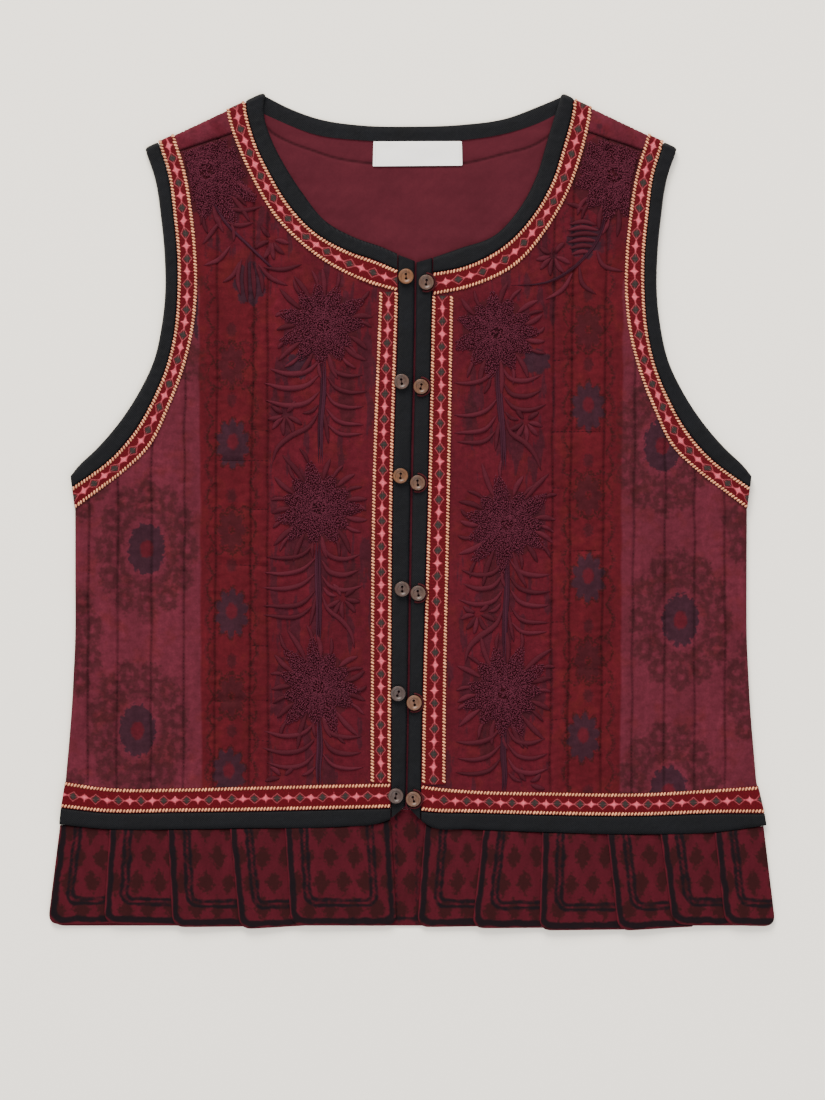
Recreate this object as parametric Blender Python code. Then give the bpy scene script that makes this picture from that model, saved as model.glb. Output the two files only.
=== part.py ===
"""A sleeveless quilted folk vest with bound edges, braid trims and a tabbed peplum.

It lies flat on its back on the floor, with the front uppermost, as it would be laid out
to be looked at. +X is the wearer's left, +Y runs up the garment from the hem to the neck
and +Z points up. The floor is at z = 0, and the origin is on it under the middle.
Sizes in the tables are millimetres, and the meshes are made in metres.
"""

import math
from collections import namedtuple

import bmesh
import bpy
from mathutils import Vector

MM = 0.001
SEAM_GAP = 0.3

# Layers, from the floor up
BACK_WALL = 2.2
FRONT_UNDERSIDE = 2.5
FLAT_TOP = 5.1
STITCHED_TOP = 4.1
PUFFED_TOP = 5.8
BINDING_TOP = 6.1
BACK_NECK_BINDING_TOP = 3.0
BACK_HEM_BINDING_TOP = 1.4
BRAID_THICKNESS = 1.0
LABEL_THICKNESS = 0.4
SIDE_ROUNDING = 4.0
SIDE_DROP = 1.2
BAND_MARGIN = 0.8

# Quilting: how far it takes to rise from the flat band, how far apart the mesh is cut across
# it, and how far past the first and last stitched line the next one would lie
RELIEF_FADE = 9.0
QUILT_ROW = 38.0
QUILT_BEFORE_FIRST = 36.0
QUILT_AFTER_LAST = 22.0

# The shoulder, where the back is folded over to a seam on the front
FOLD_CENTRE = FLAT_TOP / 2
FOLD_RADIUS = FOLD_CENTRE - BACK_WALL / 2
FOLD_ARC = math.pi * FOLD_RADIUS
FOLD_STEPS = 4
FOLD_REACH = 2.9
FOLD_RAMP = 25.0
FOLDED_UNDERSIDE = 2.9
SEAM_BELOW_FOLD_AT_NECK = 16.0
SEAM_BELOW_FOLD_AT_ARMHOLE = 8.0
SEAM_BAND = 3.0

# The peplum of overlapping tabs
RUFFLE_WALL = 1.6
TAB_WALL = 1.1
TAB_LOW = 2.5
TAB_HIGH = 3.9
TAB_OVERLAP = 15.0
TAB_CORNER = 9.0
RUFFLE_HEM = -297.0
RUFFLE_SIDE_INSET = 3.0
TAB_BEND = 1.5
TAB_CUTS = (0.35, 0.7)
ALLOWANCE_LOW = 1.7
ALLOWANCE_HIGH = 2.2
ALLOWANCE_BELOW_BINDING = 0.4
ALLOWANCE_RAMP = 2.0
RUFFLE_CUT = 40

# Buttons and their loops
BUTTON_RADIUS = 5.45
BUTTON_THICKNESS = 3.0
BUTTON_BASE = BINDING_TOP + SEAM_GAP
BUTTON_SIDES = 16
RIM_WIDTH = 1.7
DISH_DEPTH = 0.8
HOLE_RADIUS = 0.85
HOLE_SPACING = 3.6
HOLE_SIDES = 6
LOOP_RADIUS = 6.5
LOOP_CORD = 0.7
LOOP_BASE = FLAT_TOP + SEAM_GAP + BRAID_THICKNESS + SEAM_GAP
LOOP_LEAN = math.radians(-12)
LOOP_SPAN = math.radians(205)
LOOP_STEPS = 12
LOOP_SIDES = 6

# Where the back is cut into a coarse grid, out from the middle and up from it
BACK_COLUMNS = (60.0, 150.0, 215.0)
BACK_ROWS = (-130.0, -30.0, 70.0, 160.0, 235.0)

# A row for each section across a trimmed edge: out from the centre line, up from the middle.
# edge is the outer side of the binding, border is where binding, cloth and braid meet,
# and inner is the far side of the braid.
Section = namedtuple("Section", "edge border inner")

RIGHT = -1
LEFT = 1
SIDE_NAMES = {RIGHT: "right", LEFT: "left"}

ARMHOLE = [
    Section((191.5, 262.1), (181.8, 266.9), (170.6, 271.9)),
    Section((184.3, 241.2), (174.6, 243.4), (162.4, 245.5)),
    Section((179.6, 211.0), (170.5, 212.4), (157.2, 214.6)),
    Section((177.1, 183.6), (168.0, 184.3), (154.4, 185.0)),
    Section((176.8, 158.4), (168.0, 158.4), (153.9, 158.4)),
    Section((179.3, 134.6), (169.9, 132.5), (157.0, 129.6)),
    Section((185.0, 109.4), (175.7, 105.8), (164.2, 101.5)),
    Section((195.1, 87.8), (185.0, 82.8), (173.9, 76.3)),
    Section((209.5, 65.5), (199.8, 57.2), (187.9, 47.5)),
    Section((226.8, 45.4), (218.2, 36.7), (207.4, 28.8)),
    Section((239.0, 33.8), (232.6, 25.9), (224.6, 15.8)),
    Section((244.8, 26.6), (243.7, 18.4), (241.6, 3.2)),
]

NECK = {
    RIGHT: [
        Section((105.8, 302.4), (119.5, 295.9), (132.8, 289.8)),
        Section((105.5, 284.4), (116.6, 281.5), (129.6, 277.2)),
        Section((100.4, 268.6), (111.2, 264.2), (123.1, 259.9)),
        Section((90.0, 248.4), (100.4, 241.9), (111.2, 234.7)),
        Section((77.8, 229.7), (87.5, 221.0), (97.9, 213.1)),
        Section((61.9, 210.2), (69.1, 201.6), (79.2, 193.7)),
        Section((40.3, 198.0), (45.4, 188.3), (52.6, 175.0)),
        Section((20.9, 191.2), (23.8, 180.7), (28.8, 164.5)),
        Section((9.9, 186.4), (9.9, 174.6), (9.9, 159.4)),
    ],
    LEFT: [
        Section((108.7, 301.7), (117.7, 297.4), (130.0, 290.9)),
        Section((103.0, 284.4), (114.8, 282.2), (127.8, 278.6)),
        Section((97.6, 266.4), (109.4, 262.8), (122.8, 257.8)),
        Section((90.4, 242.6), (101.9, 239.0), (114.5, 234.0)),
        Section((78.5, 219.6), (89.3, 216.0), (100.8, 208.4)),
        Section((59.8, 199.4), (66.2, 191.5), (74.2, 177.1)),
        Section((34.6, 190.1), (38.2, 177.1), (41.8, 162.0)),
        Section((16.0, 183.6), (16.0, 172.6), (16.0, 156.6)),
    ],
}

FRONT_EDGE = {
    RIGHT: [
        Section((-2.7, 181.0), (9.4, 185.6), (22.1, 184.0)),
        Section((-2.6, 172.0), (9.4, 174.6), (22.3, 174.6)),
        Section((-2.5, 154.0), (9.4, 154.0), (22.7, 154.0)),
        Section((0.3, 23.8), (13.0, 23.8), (27.4, 23.8)),
        Section((2.7, -134.6), (14.2, -134.6), (28.8, -134.6)),
        Section((4.0, -205.0), (14.4, -212.2), (28.8, -212.2)),
        Section((4.2, -210.8), (14.4, -219.6), (28.8, -219.6)),
    ],
    LEFT: [
        Section((3.9, 180.0), (15.5, 183.4), (30.2, 183.0)),
        Section((3.8, 170.5), (15.5, 172.6), (30.2, 172.6)),
        Section((3.7, 153.0), (15.1, 153.0), (30.2, 153.0)),
        Section((0.9, 2.2), (11.9, 2.2), (27.7, 2.2)),
        Section((-1.3, -134.6), (8.3, -134.6), (25.2, -134.6)),
        Section((-2.7, -205.0), (7.2, -214.2), (24.8, -214.2)),
        Section((-2.8, -210.6), (7.2, -221.0), (24.8, -221.0)),
    ],
}

HEM = {
    RIGHT: [
        Section((14.7, -220.3), (14.7, -212.2), (14.7, -194.6)),
        Section((21.6, -222.8), (21.6, -212.4), (21.6, -194.6)),
        Section((51.1, -225.6), (51.1, -213.1), (51.1, -195.1)),
        Section((123.1, -226.8), (123.1, -214.6), (123.1, -196.9)),
        Section((166.3, -227.5), (166.3, -215.1), (166.3, -198.0)),
        Section((221.0, -227.2), (221.0, -215.3), (221.0, -197.3)),
        Section((252.9, -223.9), (251.7, -212.0), (248.6, -193.3)),
    ],
    LEFT: [
        Section((7.5, -221.6), (7.5, -214.2), (7.5, -195.6)),
        Section((13.7, -225.4), (13.7, -214.9), (13.7, -196.6)),
        Section((42.5, -227.4), (42.5, -215.6), (42.5, -199.4)),
        Section((99.4, -229.7), (99.4, -217.1), (99.4, -200.9)),
        Section((164.9, -231.1), (164.9, -217.8), (164.9, -201.5)),
        Section((219.6, -229.5), (219.6, -216.0), (219.6, -198.4)),
        Section((255.6, -224.6), (254.2, -216.0), (249.6, -196.3)),
    ],
}

# The side seam below the armhole: (out, up)
SIDE_SEAM = [(241.5, 3.0), (241.4, -44.0), (241.5, -90.0), (244.0, -141.0), (248.4, -193.0)]

# The back neckline between the two shoulder folds, from the wearer's right to the left
BackNeck = namedtuple("BackNeck", "edge border")
BACK_NECK = [
    BackNeck((-88.6, 291.6), (-94.3, 282.2)),
    BackNeck((-65.5, 283.3), (-68.4, 272.5)),
    BackNeck((-36.7, 279.0), (-38.2, 268.6)),
    BackNeck((0.0, 278.1), (0.0, 267.6)),
    BackNeck((36.7, 279.4), (38.2, 268.6)),
    BackNeck((67.7, 283.7), (70.6, 274.0)),
    BackNeck((92.9, 293.0), (98.6, 284.0)),
]

# Lines of quilting on each front: out at the chest (up 189) and at the hem (up -192)
QuiltLine = namedtuple("QuiltLine", "chest hem")
QUILT_CHEST = 189.0
QUILT_HEM = -192.0
QUILTING = {
    RIGHT: [
        QuiltLine(103.0, 103.0),
        QuiltLine(113.0, 116.6),
        QuiltLine(139.0, 141.8),
        QuiltLine(162.0, 163.8),
        QuiltLine(185.8, 187.2),
        QuiltLine(209.5, 211.7),
        QuiltLine(230.4, 232.6),
    ],
    LEFT: [
        QuiltLine(103.0, 100.0),
        QuiltLine(116.6, 112.3),
        QuiltLine(140.4, 136.1),
        QuiltLine(162.0, 158.4),
        QuiltLine(184.3, 181.4),
        QuiltLine(204.5, 203.4),
        QuiltLine(225.0, 225.8),
    ],
}

# Peplum tabs from the wearer's right to the left: x of the left-hand side at the top and
# at the bottom, and the height of the bottom at that side and at the far side.
# Each tab lies on the one before it, and a new run starts at the front opening.
Tab = namedtuple("Tab", "top foot low_near low_far")
TAB_RUNS = [
    [
        Tab(-252.4, -261.3, -296.4, -294.6),
        Tab(-216.7, -221.0, -297.6, -296.4),
        Tab(-175.0, -171.4, -297.2, -297.8),
        Tab(-130.3, -123.1, -297.0, -297.6),
        Tab(-90.7, -86.4, -297.4, -297.0),
        Tab(-14.6, -10.2, None, None),
    ],
    [
        Tab(10.1, 4.3, -298.0, -297.2),
        Tab(51.8, 43.9, -298.6, -298.4),
        Tab(94.3, 92.2, -300.2, -299.6),
        Tab(141.1, 149.0, -300.6, -297.6),
        Tab(179.3, 187.9, -295.8, -296.8),
        Tab(218.2, 226.0, -296.4, -297.4),
        Tab(253.6, 262.3, None, None),
    ],
]

# Buttons in pairs down the front: centre of each, and how far its two holes are turned
Button = namedtuple("Button", "x y turn")
BUTTON_PAIRS = [
    (Button(-3.6, 169.9, 3), Button(11.0, 165.6, -8)),
    (Button(-6.8, 94.3, 8), Button(7.2, 90.7, -12)),
    (Button(-7.5, 26.6, -4), Button(4.8, 21.6, 6)),
    (Button(-6.3, -54.7, 0), Button(5.1, -57.7, 10)),
    (Button(-9.3, -129.8, -20), Button(2.3, -136.4, 12)),
    (Button(-10.9, -203.3, -12), Button(1.7, -205.6, 16)),
]

LABEL_CORNERS = [(-27.4, 249.4), (36.9, 249.9), (36.5, 267.4), (-27.0, 267.2)]

# Outlines of a trim cut across, as shares of its width and of its thickness
BINDING_PROFILE = [
    (0.0, 0.0), (0.0, 0.84), (0.2, 1.0), (0.76, 1.0), (0.95, 0.74), (1.0, 0.42), (0.95, 0.0),
]
BRAID_PROFILE = [
    (0.0, 0.0), (0.02, 1.0), (0.2, 0.6), (0.8, 0.6), (0.98, 1.0), (1.0, 0.0),
]

# Colour, roughness and metallic value of each finish
FINISHES = {
    "quilted_cotton": ((0.16, 0.023, 0.034), 0.85, 0.0),
    "cotton_lining": ((0.13, 0.034, 0.043), 0.9, 0.0),
    "black_binding": ((0.012, 0.013, 0.015), 0.7, 0.0),
    "woven_braid": ((0.2, 0.015, 0.022), 0.8, 0.0),
    "ikat_cotton": ((0.11, 0.018, 0.024), 0.85, 0.0),
    "label_satin": ((0.88, 0.87, 0.85), 0.5, 0.0),
    "horn": ((0.33, 0.22, 0.12), 0.4, 0.0),
    "loop_cotton": ((0.1, 0.012, 0.018), 0.8, 0.0),
}


def clear_scene():
    for item in list(bpy.data.objects):
        bpy.data.objects.remove(item, do_unlink=True)


def finish(name):
    """The material of one finish, made the first time it is asked for."""
    found = bpy.data.materials.get(name)
    if found:
        return found
    colour, roughness, metallic = FINISHES[name]
    made = bpy.data.materials.new(name)
    made.use_nodes = True
    shader = made.node_tree.nodes["Principled BSDF"]
    shader.inputs["Base Color"].default_value = (*colour, 1.0)
    shader.inputs["Roughness"].default_value = roughness
    shader.inputs["Metallic"].default_value = metallic
    return made


def add_object(name, points, faces, material, smooth_angle=40):
    """A named object from points in millimetres, with its faces turned outwards."""
    mesh = bpy.data.meshes.new(name)
    mesh.from_pydata([Vector(point) * MM for point in points], [], faces)
    shape = bmesh.new()
    shape.from_mesh(mesh)
    bmesh.ops.recalc_face_normals(shape, faces=shape.faces[:])
    shape.to_mesh(mesh)
    shape.free()
    mesh.shade_smooth()
    mesh.set_sharp_from_angle(angle=math.radians(smooth_angle))
    mesh.materials.append(finish(material))
    made = bpy.data.objects.new(name, mesh)
    bpy.context.scene.collection.objects.link(made)
    return made


# Curves through the rows of a table


def smooth_line(points, cuts):
    """The points with more of them in between, on a smooth curve through them all."""
    points = [Vector(point) for point in points]
    legs = [(end - start).length for start, end in zip(points, points[1:])]
    slopes = [(points[i + 1] - points[i]) / leg for i, leg in enumerate(legs)]
    tangents = [slopes[0]]
    for i in range(1, len(legs)):
        blend = slopes[i - 1] * legs[i] + slopes[i] * legs[i - 1]
        tangents.append(blend / (legs[i - 1] + legs[i]))
    tangents.append(slopes[-1])
    line = []
    for i, leg in enumerate(legs):
        for cut in range(cuts):
            share = cut / cuts
            square = share * share
            cube = square * share
            line.append(
                points[i] * (2 * cube - 3 * square + 1)
                + tangents[i] * (leg * (cube - 2 * square + share))
                + points[i + 1] * (3 * square - 2 * cube)
                + tangents[i + 1] * (leg * (cube - square))
            )
    line.append(points[-1])
    return line


def smooth_rows(rows, cuts):
    """Rows of a table with more rows in between; every column runs smoothly."""
    columns = [smooth_line(column, cuts) for column in zip(*rows)]
    return [type(rows[0])(*row) for row in zip(*columns)]


def placed(side, row):
    """A row of out and up turned into x and y on one side of the vest."""
    return type(row)(*[Vector((side * point[0], point[1])) for point in row])


def side_rows(side, rows, cuts):
    return [placed(side, row) for row in smooth_rows(rows, cuts)]


class ShoulderFold:
    """The bend of one shoulder, where the back comes over to the front."""

    def __init__(self, side):
        neck = placed(side, NECK[side][0]).edge
        tip = placed(side, ARMHOLE[0]).edge
        self.along = (tip - neck).normalized()
        self.out = Vector((-self.along.y, self.along.x))
        if self.out.y < 0:
            self.out.negate()
        self.start = neck - self.out * FOLD_REACH

    def below(self, point):
        """How far a front point lies below the fold."""
        return -(point - self.start).dot(self.out)

    def on_fold(self, point):
        return point + self.out * self.below(point)

    def opened(self, point):
        """Where a front point lies when the shoulder is opened out flat."""
        return point + self.out * (2 * self.below(point) + FOLD_ARC)

    def bend(self, x, y, z):
        """Fold a point of the opened shoulder back over to its place."""
        flat = Vector((x, y))
        beyond = -self.below(flat)
        if beyond <= 0:
            return Vector((x, y, z))
        foot = flat - self.out * beyond
        radius = FOLD_CENTRE - z
        if beyond >= FOLD_ARC:
            over = foot - self.out * (beyond - FOLD_ARC)
            return Vector((over.x, over.y, FOLD_CENTRE + radius))
        turn = beyond / FOLD_RADIUS
        over = foot + self.out * (radius * math.sin(turn))
        return Vector((over.x, over.y, FOLD_CENTRE - radius * math.cos(turn)))


FOLDS = {RIGHT: ShoulderFold(RIGHT), LEFT: ShoulderFold(LEFT)}


def fold_over(point):
    side = LEFT if point[0] > 0 else RIGHT
    return FOLDS[side].bend(*point)


def opened_height(height):
    """The height that a front point has before the shoulder is folded."""
    return 2 * FOLD_CENTRE - height


def tube_faces(count, size):
    """Faces that join rings of size points into a tube with closed ends."""
    faces = [tuple(range(size))[::-1], tuple(range(count - size, count))]
    for start in range(0, count - size, size):
        for i in range(size):
            j = (i + 1) % size
            faces.append((start + i, start + j, start + size + j, start + size + i))
    return faces


# Trims: strips with one outline all along

Station = namedtuple("Station", "border edge inside outside")


def strip(name, stations, profile, material, folded=False):
    """Sweep a profile along stations, from the border to the edge of a trim."""
    points = []
    for station in stations:
        for across, up in profile:
            flat = station.border.lerp(station.edge, across)
            height = station.inside + (station.outside - station.inside) * up
            point = (flat.x, flat.y, height)
            points.append(fold_over(point) if folded else Vector(point))
    return add_object(name, points, tube_faces(len(points), len(profile)), material)


def stepped_off(start, towards, gap):
    """A point moved from start a little way towards another."""
    return start + (towards - start).normalized() * gap


def front_underside(fold, point):
    """The front layer rises a little where it comes over the shoulder fold."""
    near = max(0.0, 1.0 - fold.below(point) / FOLD_RAMP)
    return FRONT_UNDERSIDE + (FOLDED_UNDERSIDE - FRONT_UNDERSIDE) * near


def opened_front(fold, row, top):
    """One station of a binding on the front, opened out over the shoulder."""
    border = stepped_off(row.border, row.edge, SEAM_GAP)
    inside = opened_height(front_underside(fold, row.border))
    return Station(fold.opened(border), fold.opened(row.edge), inside, opened_height(top))


def over_the_fold(fold, row, steps, inside, start_outside, end_outside):
    """Stations round the bend, from the front (start) to the back (end)."""
    border = fold.on_fold(stepped_off(row.border, row.edge, SEAM_GAP))
    edge = fold.on_fold(row.edge)
    stations = []
    for step in steps:
        share = step / FOLD_STEPS
        shift = fold.out * (FOLD_ARC * (1 - share))
        outside = start_outside + (end_outside - start_outside) * share
        stations.append(Station(border + shift, edge + shift, inside, outside))
    return stations


def front_rows_below_fold(fold, rows):
    """Rows of a front table, with the first one moved down onto the fold."""
    first = type(rows[0])(*[fold.on_fold(point) for point in rows[0]])
    return [first] + [row for row in rows[1:] if fold.below(row.border) > 1.0]


def armhole_binding(side):
    fold = FOLDS[side]
    rows = front_rows_below_fold(fold, side_rows(side, ARMHOLE, 2))
    front = [opened_front(fold, row, BINDING_TOP) for row in reversed(rows)]
    bend = over_the_fold(
        fold, rows[0], range(1, FOLD_STEPS + 1), BACK_WALL, opened_height(BINDING_TOP), 0.0
    )
    back = []
    for row in rows[1:]:
        border = stepped_off(row.border, row.edge, SEAM_GAP)
        edge = stepped_off(row.edge, row.border, 2 * SEAM_GAP)
        back.append(Station(border, edge, BACK_WALL, 0.0))
    name = f"{SIDE_NAMES[side]}_armhole_binding"
    strip(name, front + bend + back, BINDING_PROFILE, "black_binding", folded=True)


def back_neck_rows():
    """The back neckline from the right fold to the left fold, with its ends on the folds."""
    ends = {}
    for side in (RIGHT, LEFT):
        row = placed(side, NECK[side][0])
        fold = FOLDS[side]
        ends[side] = BackNeck(fold.on_fold(row.edge), fold.on_fold(row.border))
    return smooth_rows([ends[RIGHT]] + BACK_NECK + [ends[LEFT]], 2)


def neck_binding():
    halves = {}
    for side in (RIGHT, LEFT):
        fold = FOLDS[side]
        rows = front_rows_below_fold(fold, side_rows(side, NECK[side], 2))
        front = [opened_front(fold, row, BINDING_TOP) for row in reversed(rows)]
        bend = over_the_fold(
            fold, rows[0], range(1, FOLD_STEPS + 1), BACK_WALL, opened_height(BINDING_TOP), 0.0
        )
        halves[side] = front + bend
    back = []
    for row in back_neck_rows()[1:-1]:
        border = stepped_off(row.border, row.edge, SEAM_GAP)
        from_fold = min(-FOLDS[RIGHT].below(row.edge), -FOLDS[LEFT].below(row.edge), key=abs)
        rise = min(1.0, max(0.0, (abs(from_fold) - FOLD_RAMP / 2) / FOLD_RAMP))
        inside = BACK_WALL + (BACK_NECK_BINDING_TOP - BACK_WALL) * rise
        back.append(Station(border, row.edge, inside, 0.0))
    stations = halves[RIGHT] + back + halves[LEFT][::-1]
    strip("neck_binding", stations, BINDING_PROFILE, "black_binding", folded=True)


def flat_binding(name, rows, low, top):
    stations = []
    for row in rows:
        border = stepped_off(row.border, row.edge, SEAM_GAP)
        stations.append(Station(border, row.edge, low, top))
    strip(name, stations, BINDING_PROFILE, "black_binding")


def hem_line(cuts):
    """The hem of the whole vest, from the wearer's right side seam to the left."""
    right = side_rows(RIGHT, HEM[RIGHT], cuts)
    return right[::-1] + side_rows(LEFT, HEM[LEFT], cuts)


def back_hem_binding():
    rows = []
    for row in hem_line(1):
        rows.append(row._replace(edge=stepped_off(row.edge, row.border, 2 * SEAM_GAP)))
    flat_binding("back_hem_binding", rows, 0.0, BACK_HEM_BINDING_TOP)


# Braids: sewn on the flat band inside each binding


def braid_station(row, start_gap=SEAM_GAP):
    border = stepped_off(row.border, row.inner, start_gap)
    low = FLAT_TOP + SEAM_GAP
    return Station(border, row.inner, low, low + BRAID_THICKNESS)


def flat_braid(name, rows):
    strip(name, [braid_station(row) for row in rows], BRAID_PROFILE, "woven_braid")


def shoulder_braid(name, side, rows):
    """A braid that runs up the front and ends at the turn of the shoulder fold."""
    fold = FOLDS[side]
    rows = front_rows_below_fold(fold, rows)
    inside = opened_height(FLAT_TOP + SEAM_GAP)
    outside = inside - BRAID_THICKNESS
    stations = []
    for row in reversed(rows):
        flat = braid_station(row)
        stations.append(Station(fold.opened(flat.border), fold.opened(flat.edge), inside, outside))
    top = braid_station(rows[0])
    for step in range(1, FOLD_STEPS // 2 + 1):
        shift = fold.out * (FOLD_ARC * (1 - step / FOLD_STEPS))
        border = fold.on_fold(top.border) + shift
        edge = fold.on_fold(top.edge) + shift
        stations.append(Station(border, edge, inside, outside))
    strip(name, stations, BRAID_PROFILE, "woven_braid", folded=True)


def clipped_front_edge(side):
    """Rows of the front edge between the neck braid and the hem braid."""
    top = NECK[side][-1].inner[1] - 2 * SEAM_GAP
    bottom = HEM[side][0].inner[1] + 2 * SEAM_GAP
    rows = side_rows(side, FRONT_EDGE[side][2:-1], 2)
    kept = [row for row in rows if bottom < row.border.y < top]

    def level_with(row, y):
        return type(row)(*[Vector((point.x, y)) for point in row])

    return [level_with(kept[0], top)] + kept + [level_with(kept[-1], bottom)]


def braids(side):
    name = SIDE_NAMES[side]
    shoulder_braid(f"{name}_neck_braid", side, side_rows(side, NECK[side], 2))
    shoulder_braid(f"{name}_armhole_braid", side, side_rows(side, ARMHOLE, 2))
    flat_braid(f"{name}_front_braid", clipped_front_edge(side))
    flat_braid(f"{name}_hem_braid", side_rows(side, HEM[side], 1))


# Panels: flat sheets, cut along the quilting and given two faces


def inset(outline, widths):
    """The outline moved inwards; widths[i] is for the stretch after point i."""
    moved = []
    for i, point in enumerate(outline):
        before = (point - outline[i - 1]).normalized()
        after = (outline[(i + 1) % len(outline)] - point).normalized()
        inward_before = Vector((-before.y, before.x))
        inward_after = Vector((-after.y, after.x))
        start = point + inward_before * widths[i - 1]
        end = point + inward_after * widths[i]
        turn = before.x * after.y - before.y * after.x
        if abs(turn) < 0.12:
            moved.append((start + end) / 2)
            continue
        apart = end - start
        along = (apart.x * after.y - apart.y * after.x) / turn
        moved.append(start + before * along)
    return moved


def cut_lines(sheet, lines):
    """Cut a sheet along lines, each given by a point on it and a direction."""
    for point, direction in lines:
        across = Vector((-direction[1], direction[0], 0.0))
        geometry = sheet.verts[:] + sheet.edges[:] + sheet.faces[:]
        bmesh.ops.bisect_plane(
            sheet, geom=geometry, dist=0.01, plane_co=(*point, 0.0), plane_no=across
        )


def close_wall(name, sheet, low, high, material, bend=None):
    """Make a closed wall from a flat sheet, between two height functions."""
    bmesh.ops.triangulate(sheet, faces=sheet.faces[:])
    sheet.verts.index_update()
    flat = [vertex.co.xy for vertex in sheet.verts]
    points = [Vector((p.x, p.y, low(p))) for p in flat]
    points += [Vector((p.x, p.y, high(p))) for p in flat]
    if bend:
        points = [bend(point) for point in points]
    size = len(flat)
    faces = []
    for face in sheet.faces:
        corners = [vertex.index for vertex in face.verts]
        faces.append([corner + size for corner in corners])
        faces.append(corners[::-1])
    for edge in sheet.edges:
        if edge.is_boundary:
            a, b = (vertex.index for vertex in edge.verts)
            faces.append((a, b, b + size, a + size))
    sheet.free()
    return add_object(name, points, faces, material, smooth_angle=50)


def split_at_depth(fold, points, depth):
    """Split a line that runs down from the fold where it is depth below it."""
    for i in range(1, len(points)):
        reached = fold.below(points[i])
        if reached > depth:
            before = fold.below(points[i - 1])
            cut = points[i - 1].lerp(points[i], (depth - before) / (reached - before))
            return points[:i], cut, points[i:]
    return points, points[-1], []


def border_line(side, rows):
    """The cloth's edge along a trimmed edge, from the shoulder fold down."""
    fold = FOLDS[side]
    kept = front_rows_below_fold(fold, side_rows(side, rows, 2))
    widths = [(row.inner - row.border).length for row in kept]
    return [row.border for row in kept], widths


def quilt_line(side, out_at_chest, out_at_hem):
    """A line of quilting as a point and a direction in x and y."""
    top = Vector((side * out_at_chest, QUILT_CHEST))
    bottom = Vector((side * out_at_hem, QUILT_HEM))
    return top, (top - bottom).normalized()


def quilt_columns(side):
    """Out at the chest and the hem for each stitched line and the puffed lines between."""
    columns = []
    lines = QUILTING[side]
    innermost = QuiltLine(*[out - QUILT_BEFORE_FIRST for out in lines[0]])
    outermost = QuiltLine(*[out + QUILT_AFTER_LAST for out in lines[-1]])
    stitched = [innermost] + lines + [outermost]
    for near, far in zip(stitched, stitched[1:]):
        for share in (1 / 3, 2 / 3):
            chest = near.chest + (far.chest - near.chest) * share
            hem = near.hem + (far.hem - near.hem) * share
            columns.append((chest, hem, PUFFED_TOP))
    for line in lines:
        columns.append((line.chest, line.hem, STITCHED_TOP))
    return sorted(columns)


def relief_at(side, columns, point):
    """Height of the quilting at a point, read across the columns."""
    share = (QUILT_CHEST - point.y) / (QUILT_CHEST - QUILT_HEM)
    out = side * point.x
    places = [(chest + (hem - chest) * share, height) for chest, hem, height in columns]
    if out <= places[0][0]:
        return places[0][1]
    for (near, low), (far, high) in zip(places, places[1:]):
        if out <= far:
            return low + (high - low) * (out - near) / (far - near)
    return places[-1][1]


def distance_to_line(point, line):
    """Distance from a point to a closed outline."""
    nearest = 1e9
    for i, end in enumerate(line):
        start = line[i - 1]
        along = end - start
        share = (point - start).dot(along) / along.length_squared
        share = min(1.0, max(0.0, share))
        nearest = min(nearest, (start + along * share - point).length)
    return nearest


def front_outline(side):
    """The cloth edge of a front and the width of the flat band inside each stretch."""
    fold = FOLDS[side]
    armhole, armhole_widths = border_line(side, ARMHOLE)
    neck, neck_widths = border_line(side, NECK[side])
    hem = side_rows(side, HEM[side], 1)
    edge = side_rows(side, FRONT_EDGE[side][1:-1], 1)
    _, armhole_cut, armhole_below = split_at_depth(
        fold, armhole, SEAM_BELOW_FOLD_AT_ARMHOLE + SEAM_GAP / 2
    )
    _, neck_cut, neck_below = split_at_depth(
        fold, neck, SEAM_BELOW_FOLD_AT_NECK + SEAM_GAP / 2
    )
    outline = []
    for row in hem[1:]:
        outline.append((row.border, (row.inner - row.border).length + BAND_MARGIN))
    outline[-1] = (outline[-1][0], SIDE_ROUNDING)
    for out, up in reversed(SIDE_SEAM):
        outline.append((Vector((side * out, up)), SIDE_ROUNDING))
    count = len(armhole_below)
    for point, width in zip(reversed(armhole_below), reversed(armhole_widths[-count:])):
        outline.append((point, width + BAND_MARGIN))
    outline.append((armhole_cut, SEAM_BAND))
    outline.append((neck_cut, neck_widths[0] + BAND_MARGIN))
    count = len(neck_below)
    for point, width in zip(neck_below[:-1], neck_widths[-count:-1]):
        outline.append((point, width + BAND_MARGIN))
    edge_width = (edge[0].inner - edge[0].border).length + BAND_MARGIN
    hem_width = (hem[1].inner - hem[1].border).length + BAND_MARGIN
    corner = Vector((edge[0].border.x, neck_below[-1].y))
    outline.append((corner, edge_width))
    for row in edge[1:-1]:
        outline.append((row.border, (row.inner - row.border).length + BAND_MARGIN))
    outline.append((Vector((hem[0].border.x - side * SEAM_GAP, hem[0].border.y)), hem_width))
    return outline


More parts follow.
